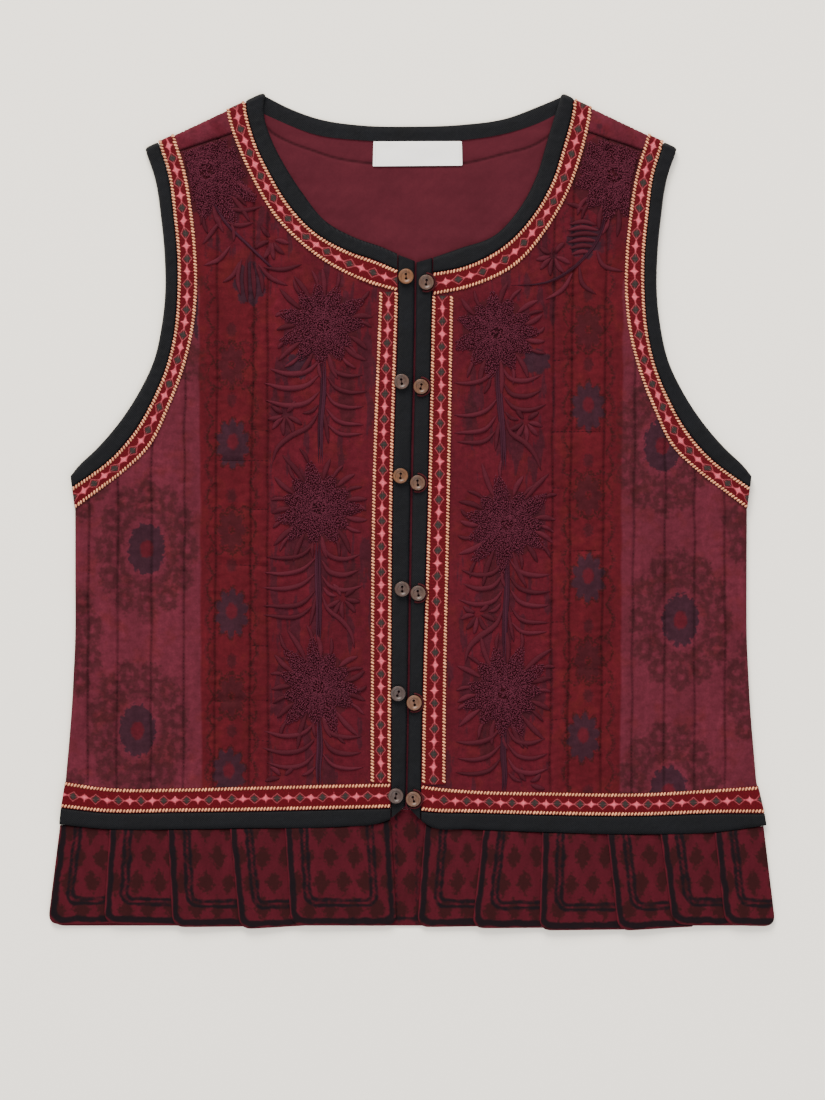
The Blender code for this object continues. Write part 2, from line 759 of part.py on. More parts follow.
def front_panel(side):
    stretches = front_outline(side)
    if side == RIGHT:
        # Mirrored rows run clockwise, so the list is turned round with its widths kept
        points = [point for point, _ in stretches][::-1]
        widths = [width for _, width in stretches][::-1]
        widths = widths[1:] + widths[:1]
    else:
        points = [point for point, _ in stretches]
        widths = [width for _, width in stretches]
    inner = inset(points, widths)
    sheet = bmesh.new()
    outer_ring = [sheet.verts.new((p.x, p.y, 0.0)) for p in points]
    inner_ring = [sheet.verts.new((p.x, p.y, 0.0)) for p in inner]
    sheet.faces.new(inner_ring)
    columns = quilt_columns(side)
    lines = [quilt_line(side, chest, hem) for chest, hem, _ in columns]
    top = max(point.y for point in inner)
    level = min(point.y for point in inner) + RELIEF_FADE
    while level < top:
        lines.append((Vector((0.0, level)), (1.0, 0.0)))
        level += QUILT_ROW
    cut_lines(sheet, lines)
    ring = add_border_ring(sheet, outer_ring, inner_ring)
    side_line = [Vector((side * out, up)) for out, up in SIDE_SEAM]
    side_line.insert(0, placed(side, ARMHOLE[-1]).border)
    side_line.append(placed(side, HEM[side][-1]).border)

    def high(point):
        from_side = distance_to_line(point, side_line + side_line[::-1][1:-1])
        drop = SIDE_DROP * max(0.0, 1.0 - from_side / SIDE_ROUNDING) ** 2
        if from_side < SIDE_ROUNDING - 0.1 or ring(point):
            return FLAT_TOP - drop
        depth = distance_to_line(point, inner)
        fade = min(1.0, depth / RELIEF_FADE)
        return FLAT_TOP + (relief_at(side, columns, point) - FLAT_TOP) * fade

    close_wall(
        f"front_{SIDE_NAMES[side]}", sheet, lambda point: FRONT_UNDERSIDE, high, "quilted_cotton"
    )


def add_border_ring(sheet, outer_ring, inner_ring):
    """Join the cut middle of a sheet to its outline, and tell which points are in the band."""
    inner_edges = [edge for edge in sheet.edges if edge.is_boundary]
    links = {}
    for edge in inner_edges:
        for vertex in edge.verts:
            links.setdefault(vertex, []).append(edge)
    count = len(outer_ring)
    for i in range(count):
        start = inner_ring[i]
        end = inner_ring[(i + 1) % count]
        chain = walk_rim(links, start, end)
        corners = [outer_ring[i], outer_ring[(i + 1) % count]] + chain[::-1]
        sheet.faces.new(corners)
    band = {(round(v.co.x, 3), round(v.co.y, 3)) for v in outer_ring}
    return lambda point: (round(point.x, 3), round(point.y, 3)) in band


def walk_rim(links, start, end):
    """Vertices along the rim from one corner to the next, by the shorter way."""
    best = None
    for first in links[start]:
        chain = [start]
        edge = first
        here = start
        while True:
            here = edge.other_vert(here)
            chain.append(here)
            if here == end:
                break
            edge = next(other for other in links[here] if other != edge)
            if len(chain) > len(links):
                break
        if here == end and (best is None or len(chain) < len(best)):
            best = chain
    return best


def back_outline():
    """The back's cloth edge with both shoulders opened out, anticlockwise."""
    outline = [row.border for row in hem_line(1)]
    parts = {}
    for side in (RIGHT, LEFT):
        fold = FOLDS[side]
        armhole, _ = border_line(side, ARMHOLE)
        neck, _ = border_line(side, NECK[side])
        armhole_yoke, armhole_cut, _ = split_at_depth(
            fold, armhole, SEAM_BELOW_FOLD_AT_ARMHOLE - SEAM_GAP / 2
        )
        neck_yoke, neck_cut, _ = split_at_depth(
            fold, neck, SEAM_BELOW_FOLD_AT_NECK - SEAM_GAP / 2
        )
        seam = [Vector((side * out, up)) for out, up in reversed(SIDE_SEAM)]
        up_the_side = seam + armhole[::-1]
        over = [fold.opened(point) for point in armhole_yoke + [armhole_cut]]
        down = [fold.opened(point) for point in [neck_cut] + neck_yoke[::-1]]
        parts[side] = up_the_side + over + down
    neck = [row.border for row in back_neck_rows()]
    outline += parts[LEFT] + neck[::-1] + parts[RIGHT][::-1]
    return outline


def back_panel():
    sheet = bmesh.new()
    sheet.faces.new([sheet.verts.new((p.x, p.y, 0.0)) for p in back_outline()])
    lines = []
    for side in (RIGHT, LEFT):
        fold = FOLDS[side]
        for step in range(FOLD_STEPS + 1):
            beyond = fold.start + fold.out * (FOLD_ARC * step / FOLD_STEPS)
            lines.append((beyond, fold.along))
        for out in BACK_COLUMNS:
            lines.append((Vector((side * out, 0.0)), (0.0, 1.0)))
    for up in BACK_ROWS:
        lines.append((Vector((0.0, up)), (1.0, 0.0)))
    cut_lines(sheet, lines)
    close_wall(
        "back", sheet, lambda point: 0.0, lambda point: BACK_WALL, "cotton_lining", fold_over
    )


# The peplum: a back strip and two runs of overlapping tabs


def hem_height(x):
    """Height of the binding's lower edge at a place along the hem."""
    line = [row.edge for row in hem_line(1)]
    for start, end in zip(line, line[1:]):
        if start.x <= x <= end.x:
            return start.y + (end.y - start.y) * (x - start.x) / (end.x - start.x)
    return line[0].y if x < line[0].x else line[-1].y


def rounded_corner(corner, before, after, radius, steps=4):
    """Points of an arc that rounds a corner between two neighbours."""
    start = corner + (before - corner).normalized() * radius
    end = corner + (after - corner).normalized() * radius
    points = []
    for step in range(steps + 1):
        share = step / steps
        near = start.lerp(corner, share)
        far = corner.lerp(end, share)
        points.append(near.lerp(far, share))
    return points


def tab(name, row, following, first, last):
    """One tab: its near side lies on the tab before it and its far side under the next."""
    over = 0.0 if last else TAB_OVERLAP
    top_near = Vector((row.top, hem_height(row.top) - SEAM_GAP))
    far_x = following.top + over
    top_far = Vector((far_x, hem_height(far_x) - SEAM_GAP))
    foot_near = Vector((row.foot, row.low_near))
    foot_far = Vector((following.foot + over, row.low_far))
    outline = [top_near]
    outline += rounded_corner(foot_near, top_near, foot_far, TAB_CORNER)
    if last:
        outline += rounded_corner(foot_far, foot_near, top_far, TAB_CORNER)
    else:
        outline.append(foot_far)
    outline.append(top_far)
    for hem in reversed(hem_line(1)):
        if row.top + 1.0 < hem.edge.x < far_x - 1.0:
            outline.append(hem.edge - Vector((0.0, SEAM_GAP)))
    height = top_near.y - row.low_near

    def lean(start, end):
        """A line down the tab, by its x at the top and at the foot."""
        top = Vector((start, top_near.y))
        return top, (top - Vector((end, top_near.y - height))).normalized()

    lifted_until = TAB_OVERLAP + TAB_BEND
    lines = []
    if not first:
        lines.append(lean(row.top + lifted_until, row.foot + lifted_until))
    if not last:
        lines.append(lean(following.top - TAB_BEND, following.foot - TAB_BEND))
    for share in TAB_CUTS:
        lines.append((Vector((0.0, top_near.y - height * share)), (1.0, 0.0)))
    sheet = bmesh.new()
    sheet.faces.new([sheet.verts.new((p.x, p.y, 0.0)) for p in outline])
    cut_lines(sheet, lines)

    def low(point):
        down = (top_near.y - point.y) / height
        near = row.top + (row.foot - row.top) * down + lifted_until
        far = following.top + (following.foot - following.top) * down
        if first:
            return TAB_LOW
        if not last:
            far -= TAB_BEND
        share = min(1.0, max(0.0, (point.x - near) / (far - near)))
        return TAB_HIGH + (TAB_LOW - TAB_HIGH) * share

    close_wall(name, sheet, low, lambda point: low(point) + TAB_WALL, "ikat_cotton")


def tabs():
    for side, run in zip((RIGHT, LEFT), TAB_RUNS):
        count = len(run) - 1
        for i in range(count):
            name = f"{SIDE_NAMES[side]}_tab_{i + 1}"
            tab(name, run[i], run[i + 1], first=i == 0, last=i == count - 1)


def back_ruffle():
    """The back's peplum, sewn on inside the back's hem over its binding."""
    top = [row.border - Vector((0.0, SEAM_GAP)) for row in hem_line(1)]
    step_up = [row.edge for row in hem_line(1)]
    right = TAB_RUNS[0][0]
    left = TAB_RUNS[1][-1]
    foot_right = Vector((right.foot + RUFFLE_SIDE_INSET, RUFFLE_HEM))
    foot_left = Vector((left.foot - RUFFLE_SIDE_INSET, RUFFLE_HEM))
    near_ends = top[1:-1]
    outline = near_ends[::-1]
    outline.append(Vector((step_up[0].x + RUFFLE_SIDE_INSET, step_up[0].y - 1.0)))
    outline += rounded_corner(foot_right, outline[-1], foot_left, TAB_CORNER)
    last_side = Vector((step_up[-1].x - RUFFLE_SIDE_INSET, step_up[-1].y - 1.0))
    outline += rounded_corner(foot_left, foot_right, last_side, TAB_CORNER)
    outline.append(last_side)
    sheet = bmesh.new()
    sheet.faces.new([sheet.verts.new((p.x, p.y, 0.0)) for p in outline])
    lowest = min(point.y for point in step_up)
    ramp_top = lowest - ALLOWANCE_BELOW_BINDING
    lines = [
        (Vector((0.0, ramp_top)), (1.0, 0.0)),
        (Vector((0.0, ramp_top - ALLOWANCE_RAMP)), (1.0, 0.0)),
    ]
    half = int(left.foot) // RUFFLE_CUT * RUFFLE_CUT
    for x in range(-half, half + 1, RUFFLE_CUT):
        lines.append((Vector((x, 0.0)), (0.0, 1.0)))
    cut_lines(sheet, lines)

    def drop(point):
        return min(1.0, max(0.0, (ramp_top - point.y) / ALLOWANCE_RAMP))

    def low(point):
        return ALLOWANCE_LOW * (1 - drop(point))

    def high(point):
        return ALLOWANCE_HIGH + (RUFFLE_WALL - ALLOWANCE_HIGH) * drop(point)

    close_wall("back_ruffle", sheet, low, high, "ikat_cotton")


# Label, buttons and loops


def label():
    low = BACK_WALL + SEAM_GAP
    points = [(x, y, low) for x, y in LABEL_CORNERS]
    points += [(x, y, low + LABEL_THICKNESS) for x, y in LABEL_CORNERS]
    add_object("label", points, tube_faces(len(points), len(LABEL_CORNERS)), "label_satin")


def turned(profile, sides):
    """Points and faces of a profile of radii and heights turned about an upright axis."""
    points = []
    for radius, height in profile:
        for i in range(sides):
            angle = 2 * math.pi * i / sides
            points.append((radius * math.cos(angle), radius * math.sin(angle), height))
    return points, tube_faces(len(points), sides)


def button_mesh():
    """A turned button with a raised rim, drilled with two holes for the thread."""
    profile = [
        (BUTTON_RADIUS * 0.72, 0.0),
        (BUTTON_RADIUS, BUTTON_THICKNESS * 0.45),
        (BUTTON_RADIUS - 0.5, BUTTON_THICKNESS * 0.93),
        (BUTTON_RADIUS - RIM_WIDTH * 0.6, BUTTON_THICKNESS),
        (BUTTON_RADIUS - RIM_WIDTH - 0.5, BUTTON_THICKNESS - DISH_DEPTH),
    ]
    blank = add_object("button_blank", *turned(profile, BUTTON_SIDES), "horn")
    drills = []
    for sign in (-1, 1):
        reach = [(HOLE_RADIUS, -BUTTON_THICKNESS), (HOLE_RADIUS, 2 * BUTTON_THICKNESS)]
        points, faces = turned(reach, HOLE_SIDES)
        points = [(x, y + sign * HOLE_SPACING / 2, z) for x, y, z in points]
        drill = add_object(f"drill_{sign}", points, faces, "horn")
        hole = blank.modifiers.new("hole", "BOOLEAN")
        hole.object = drill
        hole.operation = "DIFFERENCE"
        drills.append(drill)
    bpy.context.view_layer.update()
    view = bpy.context.evaluated_depsgraph_get()
    mesh = bpy.data.meshes.new_from_object(blank.evaluated_get(view))
    mesh.name = "button"
    for item in [blank] + drills:
        bpy.data.objects.remove(item, do_unlink=True)
    return mesh


def buttons():
    mesh = button_mesh()
    for number, pair in enumerate(BUTTON_PAIRS, start=1):
        for side, place in zip((RIGHT, LEFT), pair):
            item = bpy.data.objects.new(f"{SIDE_NAMES[side]}_button_{number}", mesh)
            item.location = Vector((place.x, place.y, BUTTON_BASE)) * MM
            item.rotation_euler = (0.0, 0.0, math.radians(place.turn))
            bpy.context.scene.collection.objects.link(item)


def button_loops():
    """Cloth loops from the front opening round the wearer's left buttons."""
    height = LOOP_BASE + LOOP_CORD
    for number, (_, place) in enumerate(BUTTON_PAIRS, start=1):
        points = []
        for step in range(LOOP_STEPS + 1):
            angle = LOOP_LEAN + LOOP_SPAN * (step / LOOP_STEPS - 0.5)
            for i in range(LOOP_SIDES):
                around = 2 * math.pi * i / LOOP_SIDES
                radius = LOOP_RADIUS + LOOP_CORD * math.cos(around)
                points.append((
                    place.x + radius * math.cos(angle),
                    place.y + radius * math.sin(angle),
                    height + LOOP_CORD * math.sin(around),
                ))
        add_object(f"button_loop_{number}", points, tube_faces(len(points), LOOP_SIDES), "loop_cotton")


def build():
    clear_scene()
    back_panel()
    front_panel(RIGHT)
    front_panel(LEFT)
    neck_binding()
    for side in (RIGHT, LEFT):
        name = SIDE_NAMES[side]
        armhole_binding(side)
        edge_rows = side_rows(side, FRONT_EDGE[side], 2)
        flat_binding(f"{name}_front_edge_binding", edge_rows, FRONT_UNDERSIDE, BINDING_TOP)
        hem_rows = side_rows(side, HEM[side], 1)
        flat_binding(f"{name}_hem_binding", hem_rows, FRONT_UNDERSIDE, BINDING_TOP)
        braids(side)
    back_hem_binding()
    back_ruffle()
    tabs()
    label()
    buttons()
    button_loops()


build()
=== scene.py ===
# %% [markdown]
# A quilted folk vest, laid flat
#
# The vest is cotton, quilted in upright rows, bound in black, trimmed with a woven braid and
# embroidered down both fronts. Its solids are already made: this script dresses them. Each
# cloth piece is remade as a thin shell with its own puffs, puckers and stitches, at the place
# of the solid that it stands for.

# %% Load the solids
import math
from collections import namedtuple

import bmesh
import bpy
import numpy as np
from mathutils import Matrix, Vector
from mathutils.geometry import delaunay_2d_cdt


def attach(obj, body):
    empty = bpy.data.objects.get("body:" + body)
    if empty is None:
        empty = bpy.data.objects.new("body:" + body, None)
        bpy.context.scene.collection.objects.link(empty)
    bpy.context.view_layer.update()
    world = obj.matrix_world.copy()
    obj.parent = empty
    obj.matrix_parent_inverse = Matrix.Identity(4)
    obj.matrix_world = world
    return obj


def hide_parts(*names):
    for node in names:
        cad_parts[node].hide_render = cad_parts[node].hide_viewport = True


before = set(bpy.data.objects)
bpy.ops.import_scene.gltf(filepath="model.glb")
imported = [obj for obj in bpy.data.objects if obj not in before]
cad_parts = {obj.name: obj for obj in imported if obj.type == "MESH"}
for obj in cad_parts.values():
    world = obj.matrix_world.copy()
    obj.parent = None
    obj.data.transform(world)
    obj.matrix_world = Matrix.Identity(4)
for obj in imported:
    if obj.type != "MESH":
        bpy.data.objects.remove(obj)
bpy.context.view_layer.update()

# %% [markdown]
# Camera, floor and light
#
# The photograph looks straight down on the vest. A long lens from 3 m up keeps the edges
# upright, as a copy stand would. The floor is plain and pale. One wide soft light comes from
# beyond the neck, so every raised thread is lit above and dark below, and a second fills in.

# %% Camera and light
MM = 0.001
PHOTO_WIDTH, PHOTO_HEIGHT = 825, 1100
MM_PER_PIXEL = 0.72
PIXEL_ORIGIN = (411, 513)


def from_photo(px, py):
    """A pixel of the photograph as millimetres on the vest."""
    return np.array([(px - PIXEL_ORIGIN[0]) * MM_PER_PIXEL, (PIXEL_ORIGIN[1] - py) * MM_PER_PIXEL])


def linear(colour):
    """An sRGB hex colour as linear red, green, blue and alpha."""
    parts = [int(colour[i:i + 2], 16) / 255 for i in (1, 3, 5)]
    return (*[p / 12.92 if p <= 0.04045 else ((p + 0.055) / 1.055) ** 2.4 for p in parts], 1.0)


def area_light(name, place, aim, size, power, colour):
    data = bpy.data.lights.new(name, "AREA")
    data.shape = "SQUARE"
    data.size = size
    data.energy = power
    data.color = linear(colour)[:3]
    light = bpy.data.objects.new(name, data)
    light.location = place
    light.rotation_euler = (Vector(aim) - Vector(place)).to_track_quat("-Z", "Y").to_euler()
    bpy.context.scene.collection.objects.link(light)


CAMERA_HEIGHT = 3.0
SENSOR = 36.0
frame_height = PHOTO_HEIGHT * MM_PER_PIXEL * MM
centre = from_photo(PHOTO_WIDTH / 2, PHOTO_HEIGHT / 2) * MM
camera = bpy.data.objects.new("camera", bpy.data.cameras.new("camera"))
camera.data.sensor_width = SENSOR
camera.data.lens = SENSOR * CAMERA_HEIGHT / frame_height
camera.location = (centre[0], centre[1], CAMERA_HEIGHT)
bpy.context.scene.collection.objects.link(camera)
bpy.context.scene.camera = camera

area_light("key_light", (-1.05, 4.5, 3.15), (0.0, 0.0, 0.0), 2.7, 590.0, "#fffaf3")
area_light("fill_light", (1.2, -2.4, 4.4), (0.0, 0.0, 0.0), 3.2, 120.0, "#f6f8ff")
world = bpy.data.worlds.new("studio")
world.use_nodes = True
world.node_tree.nodes["Background"].inputs["Color"].default_value = linear("#f4f2ee")
world.node_tree.nodes["Background"].inputs["Strength"].default_value = 1.24
bpy.context.scene.world = world
print("lens:", round(camera.data.lens, 1), "mm")

# %% [markdown]
# The cut of the vest
#
# These short tables give the edges of the vest in millimetres. Each row crosses a trimmed
# edge: the outer side of the binding, the border where binding, cloth and braid meet, and the
# far side of the braid. Curves run through the rows, so a few rows make a whole armhole.

# %% Tables of the cut
SEAM_GAP = 0.3
BACK_WALL = 2.2
FRONT_UNDERSIDE = 2.5
FLAT_TOP = 5.1
STITCHED_TOP = 4.1
PUFFED_TOP = 5.8
BINDING_TOP = 6.1
BACK_NECK_BINDING_TOP = 3.0
BACK_HEM_BINDING_TOP = 1.4
BRAID_TOP = 6.4

Section = namedtuple("Section", "edge border inner")
RIGHT = -1
LEFT = 1
SIDE_NAMES = {RIGHT: "right", LEFT: "left"}

ARMHOLE = [
    Section((191.5, 262.1), (181.8, 266.9), (170.6, 271.9)),
    Section((184.3, 241.2), (174.6, 243.4), (162.4, 245.5)),
    Section((179.6, 211.0), (170.5, 212.4), (157.2, 214.6)),
    Section((177.1, 183.6), (168.0, 184.3), (154.4, 185.0)),
    Section((176.8, 158.4), (168.0, 158.4), (153.9, 158.4)),
    Section((179.3, 134.6), (169.9, 132.5), (157.0, 129.6)),
    Section((185.0, 109.4), (175.7, 105.8), (164.2, 101.5)),
    Section((195.1, 87.8), (185.0, 82.8), (173.9, 76.3)),
    Section((209.5, 65.5), (199.8, 57.2), (187.9, 47.5)),
    Section((226.8, 45.4), (218.2, 36.7), (207.4, 28.8)),
    Section((239.0, 33.8), (232.6, 25.9), (224.6, 15.8)),
    Section((244.8, 26.6), (243.7, 18.4), (241.6, 3.2)),
]

NECK = {
    RIGHT: [
        Section((105.8, 302.4), (119.5, 295.9), (132.8, 289.8)),
        Section((105.5, 284.4), (116.6, 281.5), (129.6, 277.2)),
        Section((100.4, 268.6), (111.2, 264.2), (123.1, 259.9)),
        Section((90.0, 248.4), (100.4, 241.9), (111.2, 234.7)),
        Section((77.8, 229.7), (87.5, 221.0), (97.9, 213.1)),
        Section((61.9, 210.2), (69.1, 201.6), (79.2, 193.7)),
        Section((40.3, 198.0), (45.4, 188.3), (52.6, 175.0)),
        Section((20.9, 191.2), (23.8, 180.7), (28.8, 164.5)),
        Section((9.9, 186.4), (9.9, 174.6), (9.9, 159.4)),
    ],
    LEFT: [
        Section((108.7, 301.7), (117.7, 297.4), (130.0, 290.9)),
        Section((103.0, 284.4), (114.8, 282.2), (127.8, 278.6)),
        Section((97.6, 266.4), (109.4, 262.8), (122.8, 257.8)),
        Section((90.4, 242.6), (101.9, 239.0), (114.5, 234.0)),
        Section((78.5, 219.6), (89.3, 216.0), (100.8, 208.4)),
        Section((59.8, 199.4), (66.2, 191.5), (74.2, 177.1)),
        Section((34.6, 190.1), (38.2, 177.1), (41.8, 162.0)),
        Section((16.0, 183.6), (16.0, 172.6), (16.0, 156.6)),
    ],
}

FRONT_EDGE = {
    RIGHT: [
        Section((-2.7, 181.0), (9.4, 185.6), (22.1, 184.0)),
        Section((-2.6, 172.0), (9.4, 174.6), (22.3, 174.6)),
        Section((-2.5, 154.0), (9.4, 154.0), (22.7, 154.0)),
        Section((0.3, 23.8), (13.0, 23.8), (27.4, 23.8)),
        Section((2.7, -134.6), (14.2, -134.6), (28.8, -134.6)),
        Section((4.0, -205.0), (14.4, -212.2), (28.8, -212.2)),
        Section((4.2, -210.8), (14.4, -219.6), (28.8, -219.6)),
    ],
    LEFT: [
        Section((3.9, 180.0), (15.5, 183.4), (30.2, 183.0)),
        Section((3.8, 170.5), (15.5, 172.6), (30.2, 172.6)),
        Section((3.7, 153.0), (15.1, 153.0), (30.2, 153.0)),
        Section((0.9, 2.2), (11.9, 2.2), (27.7, 2.2)),
        Section((-1.3, -134.6), (8.3, -134.6), (25.2, -134.6)),
        Section((-2.7, -205.0), (7.2, -214.2), (24.8, -214.2)),
        Section((-2.8, -210.6), (7.2, -221.0), (24.8, -221.0)),
    ],
}

HEM = {
    RIGHT: [
        Section((14.7, -220.3), (14.7, -212.2), (14.7, -194.6)),
        Section((21.6, -222.8), (21.6, -212.4), (21.6, -194.6)),
        Section((51.1, -225.6), (51.1, -213.1), (51.1, -195.1)),
        Section((123.1, -226.8), (123.1, -214.6), (123.1, -196.9)),
        Section((166.3, -227.5), (166.3, -215.1), (166.3, -198.0)),
        Section((221.0, -227.2), (221.0, -215.3), (221.0, -197.3)),
        Section((252.9, -223.9), (251.7, -212.0), (248.6, -193.3)),
    ],
    LEFT: [
        Section((7.5, -221.6), (7.5, -214.2), (7.5, -195.6)),
        Section((13.7, -225.4), (13.7, -214.9), (13.7, -196.6)),
        Section((42.5, -227.4), (42.5, -215.6), (42.5, -199.4)),
        Section((99.4, -229.7), (99.4, -217.1), (99.4, -200.9)),
        Section((164.9, -231.1), (164.9, -217.8), (164.9, -201.5)),
        Section((219.6, -229.5), (219.6, -216.0), (219.6, -198.4)),
        Section((255.6, -224.6), (254.2, -216.0), (249.6, -196.3)),
    ],
}

SIDE_SEAM = [(241.5, 3.0), (241.4, -44.0), (241.5, -90.0), (244.0, -141.0), (248.4, -193.0)]

# The side seam between the ends of the armhole and hem borders
SIDE_LINE = [(243.7, 18.4)] + SIDE_SEAM + [(251.7, -213.0)]

BackNeck = namedtuple("BackNeck", "edge border")
BACK_NECK = [
    BackNeck((-88.6, 291.6), (-94.3, 282.2)),
    BackNeck((-65.5, 283.3), (-68.4, 272.5)),
    BackNeck((-36.7, 279.0), (-38.2, 268.6)),
    BackNeck((0.0, 278.1), (0.0, 267.6)),
    BackNeck((36.7, 279.4), (38.2, 268.6)),
    BackNeck((67.7, 283.7), (70.6, 274.0)),
    BackNeck((92.9, 293.0), (98.6, 284.0)),
]
print("rows of the cut:", len(ARMHOLE) + sum(len(rows) for rows in NECK.values()))

# %% [markdown]
# Curves and the shoulder fold
#
# A maker draws an armhole with a French curve through a few marks. Hermite curves do the same
# here. At the shoulder the back is carried over to the front, so its trims are worked out on
# the opened cloth and then bent round a small half circle.

# %% Curves


def smooth_line(points, cuts):
    """The points with more of them in between, on a smooth curve through them all."""
    points = [Vector(point) for point in points]
    legs = [(end - start).length for start, end in zip(points, points[1:])]
    slopes = [(points[i + 1] - points[i]) / leg for i, leg in enumerate(legs)]
    tangents = [slopes[0]]
    for i in range(1, len(legs)):
        blend = slopes[i - 1] * legs[i] + slopes[i] * legs[i - 1]
        tangents.append(blend / (legs[i - 1] + legs[i]))
    tangents.append(slopes[-1])
    line = []
    for i, leg in enumerate(legs):
        for cut in range(cuts):
            share = cut / cuts
            square = share * share
            cube = square * share
            line.append(
                points[i] * (2 * cube - 3 * square + 1)
                + tangents[i] * (leg * (cube - 2 * square + share))
                + points[i + 1] * (3 * square - 2 * cube)
                + tangents[i + 1] * (leg * (cube - square))
            )
    line.append(points[-1])
    return line


def placed(side, row):
    """A row of out and up turned into x and y on one side of the vest."""
    return type(row)(*[Vector((side * point[0], point[1])) for point in row])


def side_rows(side, rows, cuts):
    columns = [smooth_line(column, cuts) for column in zip(*rows)]
    return [placed(side, type(rows[0])(*row)) for row in zip(*columns)]


def line_run(line):
    """How far along a line each of its points is."""
    return np.r_[0, np.cumsum(np.linalg.norm(np.diff(line, axis=0), axis=1))]


def at_marks(line, run, marks):
    """Points at some distances along a line."""
    return np.stack([np.interp(marks, run, column) for column in line.T], axis=1)


def spaced(line, spacing):
    """A line as an array of points an even distance apart."""
    line = np.array([tuple(point) for point in line])
    run = line_run(line)
    count = max(2, int(round(run[-1] / spacing)) + 1)
    return at_marks(line, run, np.linspace(0, run[-1], count))


ARMHOLE_BORDER = spaced([row.border for row in side_rows(RIGHT, ARMHOLE, 8)], 2.0)
print("border of an armhole:", round(line_run(ARMHOLE_BORDER)[-1]), "mm")

# %% The shoulder fold
FOLD_CENTRE = FLAT_TOP / 2
FOLD_RADIUS = FOLD_CENTRE - BACK_WALL / 2
FOLD_ARC = math.pi * FOLD_RADIUS
FOLD_REACH = 2.9
FOLD_STEPS = 12
FOLD_RAMP = 25.0
FOLDED_UNDERSIDE = 2.9
SEAM_AT_NECK = 16.0
SEAM_AT_ARMHOLE = 8.0


class ShoulderFold:
    """The bend of one shoulder, where the back comes over to the front."""

    def __init__(self, side):
        neck = placed(side, NECK[side][0]).edge
        tip = placed(side, ARMHOLE[0]).edge
        self.along = (tip - neck).normalized()
        self.out = Vector((-self.along.y, self.along.x))
        if self.out.y < 0:
            self.out.negate()
        self.start = neck - self.out * FOLD_REACH

    def below(self, point):
        """How far a front point lies below the fold."""
        return -(Vector(point[:2]) - self.start).dot(self.out)

    def on_fold(self, point):
        return point + self.out * self.below(point)

    def opened(self, point):
        """Where a front point lies when the shoulder is opened out flat."""
        return point + self.out * (2 * self.below(point) + FOLD_ARC)

    def bend(self, x, y, z):
        """Fold a point of the opened shoulder back over to its place."""
        flat = Vector((x, y))
        beyond = -self.below(flat)
        if beyond <= 0:
            return Vector((x, y, z))
        foot = flat - self.out * beyond
        radius = FOLD_CENTRE - z
        if beyond >= FOLD_ARC:
            over = foot - self.out * (beyond - FOLD_ARC)
            return Vector((over.x, over.y, FOLD_CENTRE + radius))
        turn = beyond / FOLD_RADIUS
        over = foot + self.out * (radius * math.sin(turn))
        return Vector((over.x, over.y, FOLD_CENTRE - radius * math.cos(turn)))


FOLDS = {RIGHT: ShoulderFold(RIGHT), LEFT: ShoulderFold(LEFT)}


def fold_over(point):
    side = LEFT if point[0] > 0 else RIGHT
    return FOLDS[side].bend(*point)


def opened_height(height):
    return 2 * FOLD_CENTRE - height


print("length of cloth round the fold:", round(FOLD_ARC, 1), "mm")

# %% [markdown]
# Unevenness
#
# Handwork is never even. Sums of a few plane waves in random directions give a smooth bumpy
# field that is the same at every run, and it bends heights, edges and colours by a little.

# %% A smooth random field


def waves(x, y, wavelength, seed, stretch=(1.0, 1.0), count=14):
    """A smooth field between about -1 and 1 over points, with bumps of one size."""
    draw = np.random.default_rng(seed)
    total = np.zeros_like(x, dtype=float)
    for _ in range(count):
        angle = draw.uniform(0, 2 * math.pi)
        size = wavelength * draw.uniform(0.65, 1.5)
        phase = draw.uniform(0, 2 * math.pi)
        run = x / stretch[0] * math.cos(angle) + y / stretch[1] * math.sin(angle)
        total += np.sin(run * 2 * math.pi / size + phase)
    return total / math.sqrt(count) / 1.6


def ramp(value, low, high):
    """0 below low, 1 above high, and a smooth rise between."""
    share = np.clip((value - low) / (high - low), 0, 1)
    return share * share * (3 - 2 * share)


def distance_to(points, line, closed=False):
    """Distance from each point to a line of points."""
    line = np.asarray(line, float)
    ends = np.roll(line, -1, axis=0) if closed else line[1:]
    starts = line if closed else line[:-1]
    nearest = np.full(len(points), 1e9)
    for start, end in zip(starts, ends):
        along = end - start
        share = np.clip(((points - start) @ along) / (along @ along + 1e-12), 0, 1)
        away = points - start - share[:, None] * along
        nearest = np.minimum(nearest, np.hypot(away[:, 0], away[:, 1]))
    return nearest


def inside(points, outline):
    """True for each point inside a closed outline."""
    x, y = points[:, 0], points[:, 1]
    held = np.zeros(len(points), bool)
    for (ax, ay), (bx, by) in zip(outline, np.roll(outline, -1, axis=0)):
        if ay == by:
            continue
        crosses = (ay > y) != (by > y)
        held ^= crosses & (x < ax + (y - ay) * (bx - ax) / (by - ay))
    return held


sample = waves(np.arange(500.0), np.zeros(500), 30.0, 1)
print("a field runs from", round(sample.min(), 2), "to", round(sample.max(), 2))

# %% [markdown]
# Making a mesh piece
#
# Every piece is built from arrays of points in millimetres. Its object stays at the origin and
# its place is in its mesh, so patterns don't slide. Numbers that a material needs, such as the
# distance to a printed flower's edge, are kept on the points as attributes.

# %% Helpers for meshes


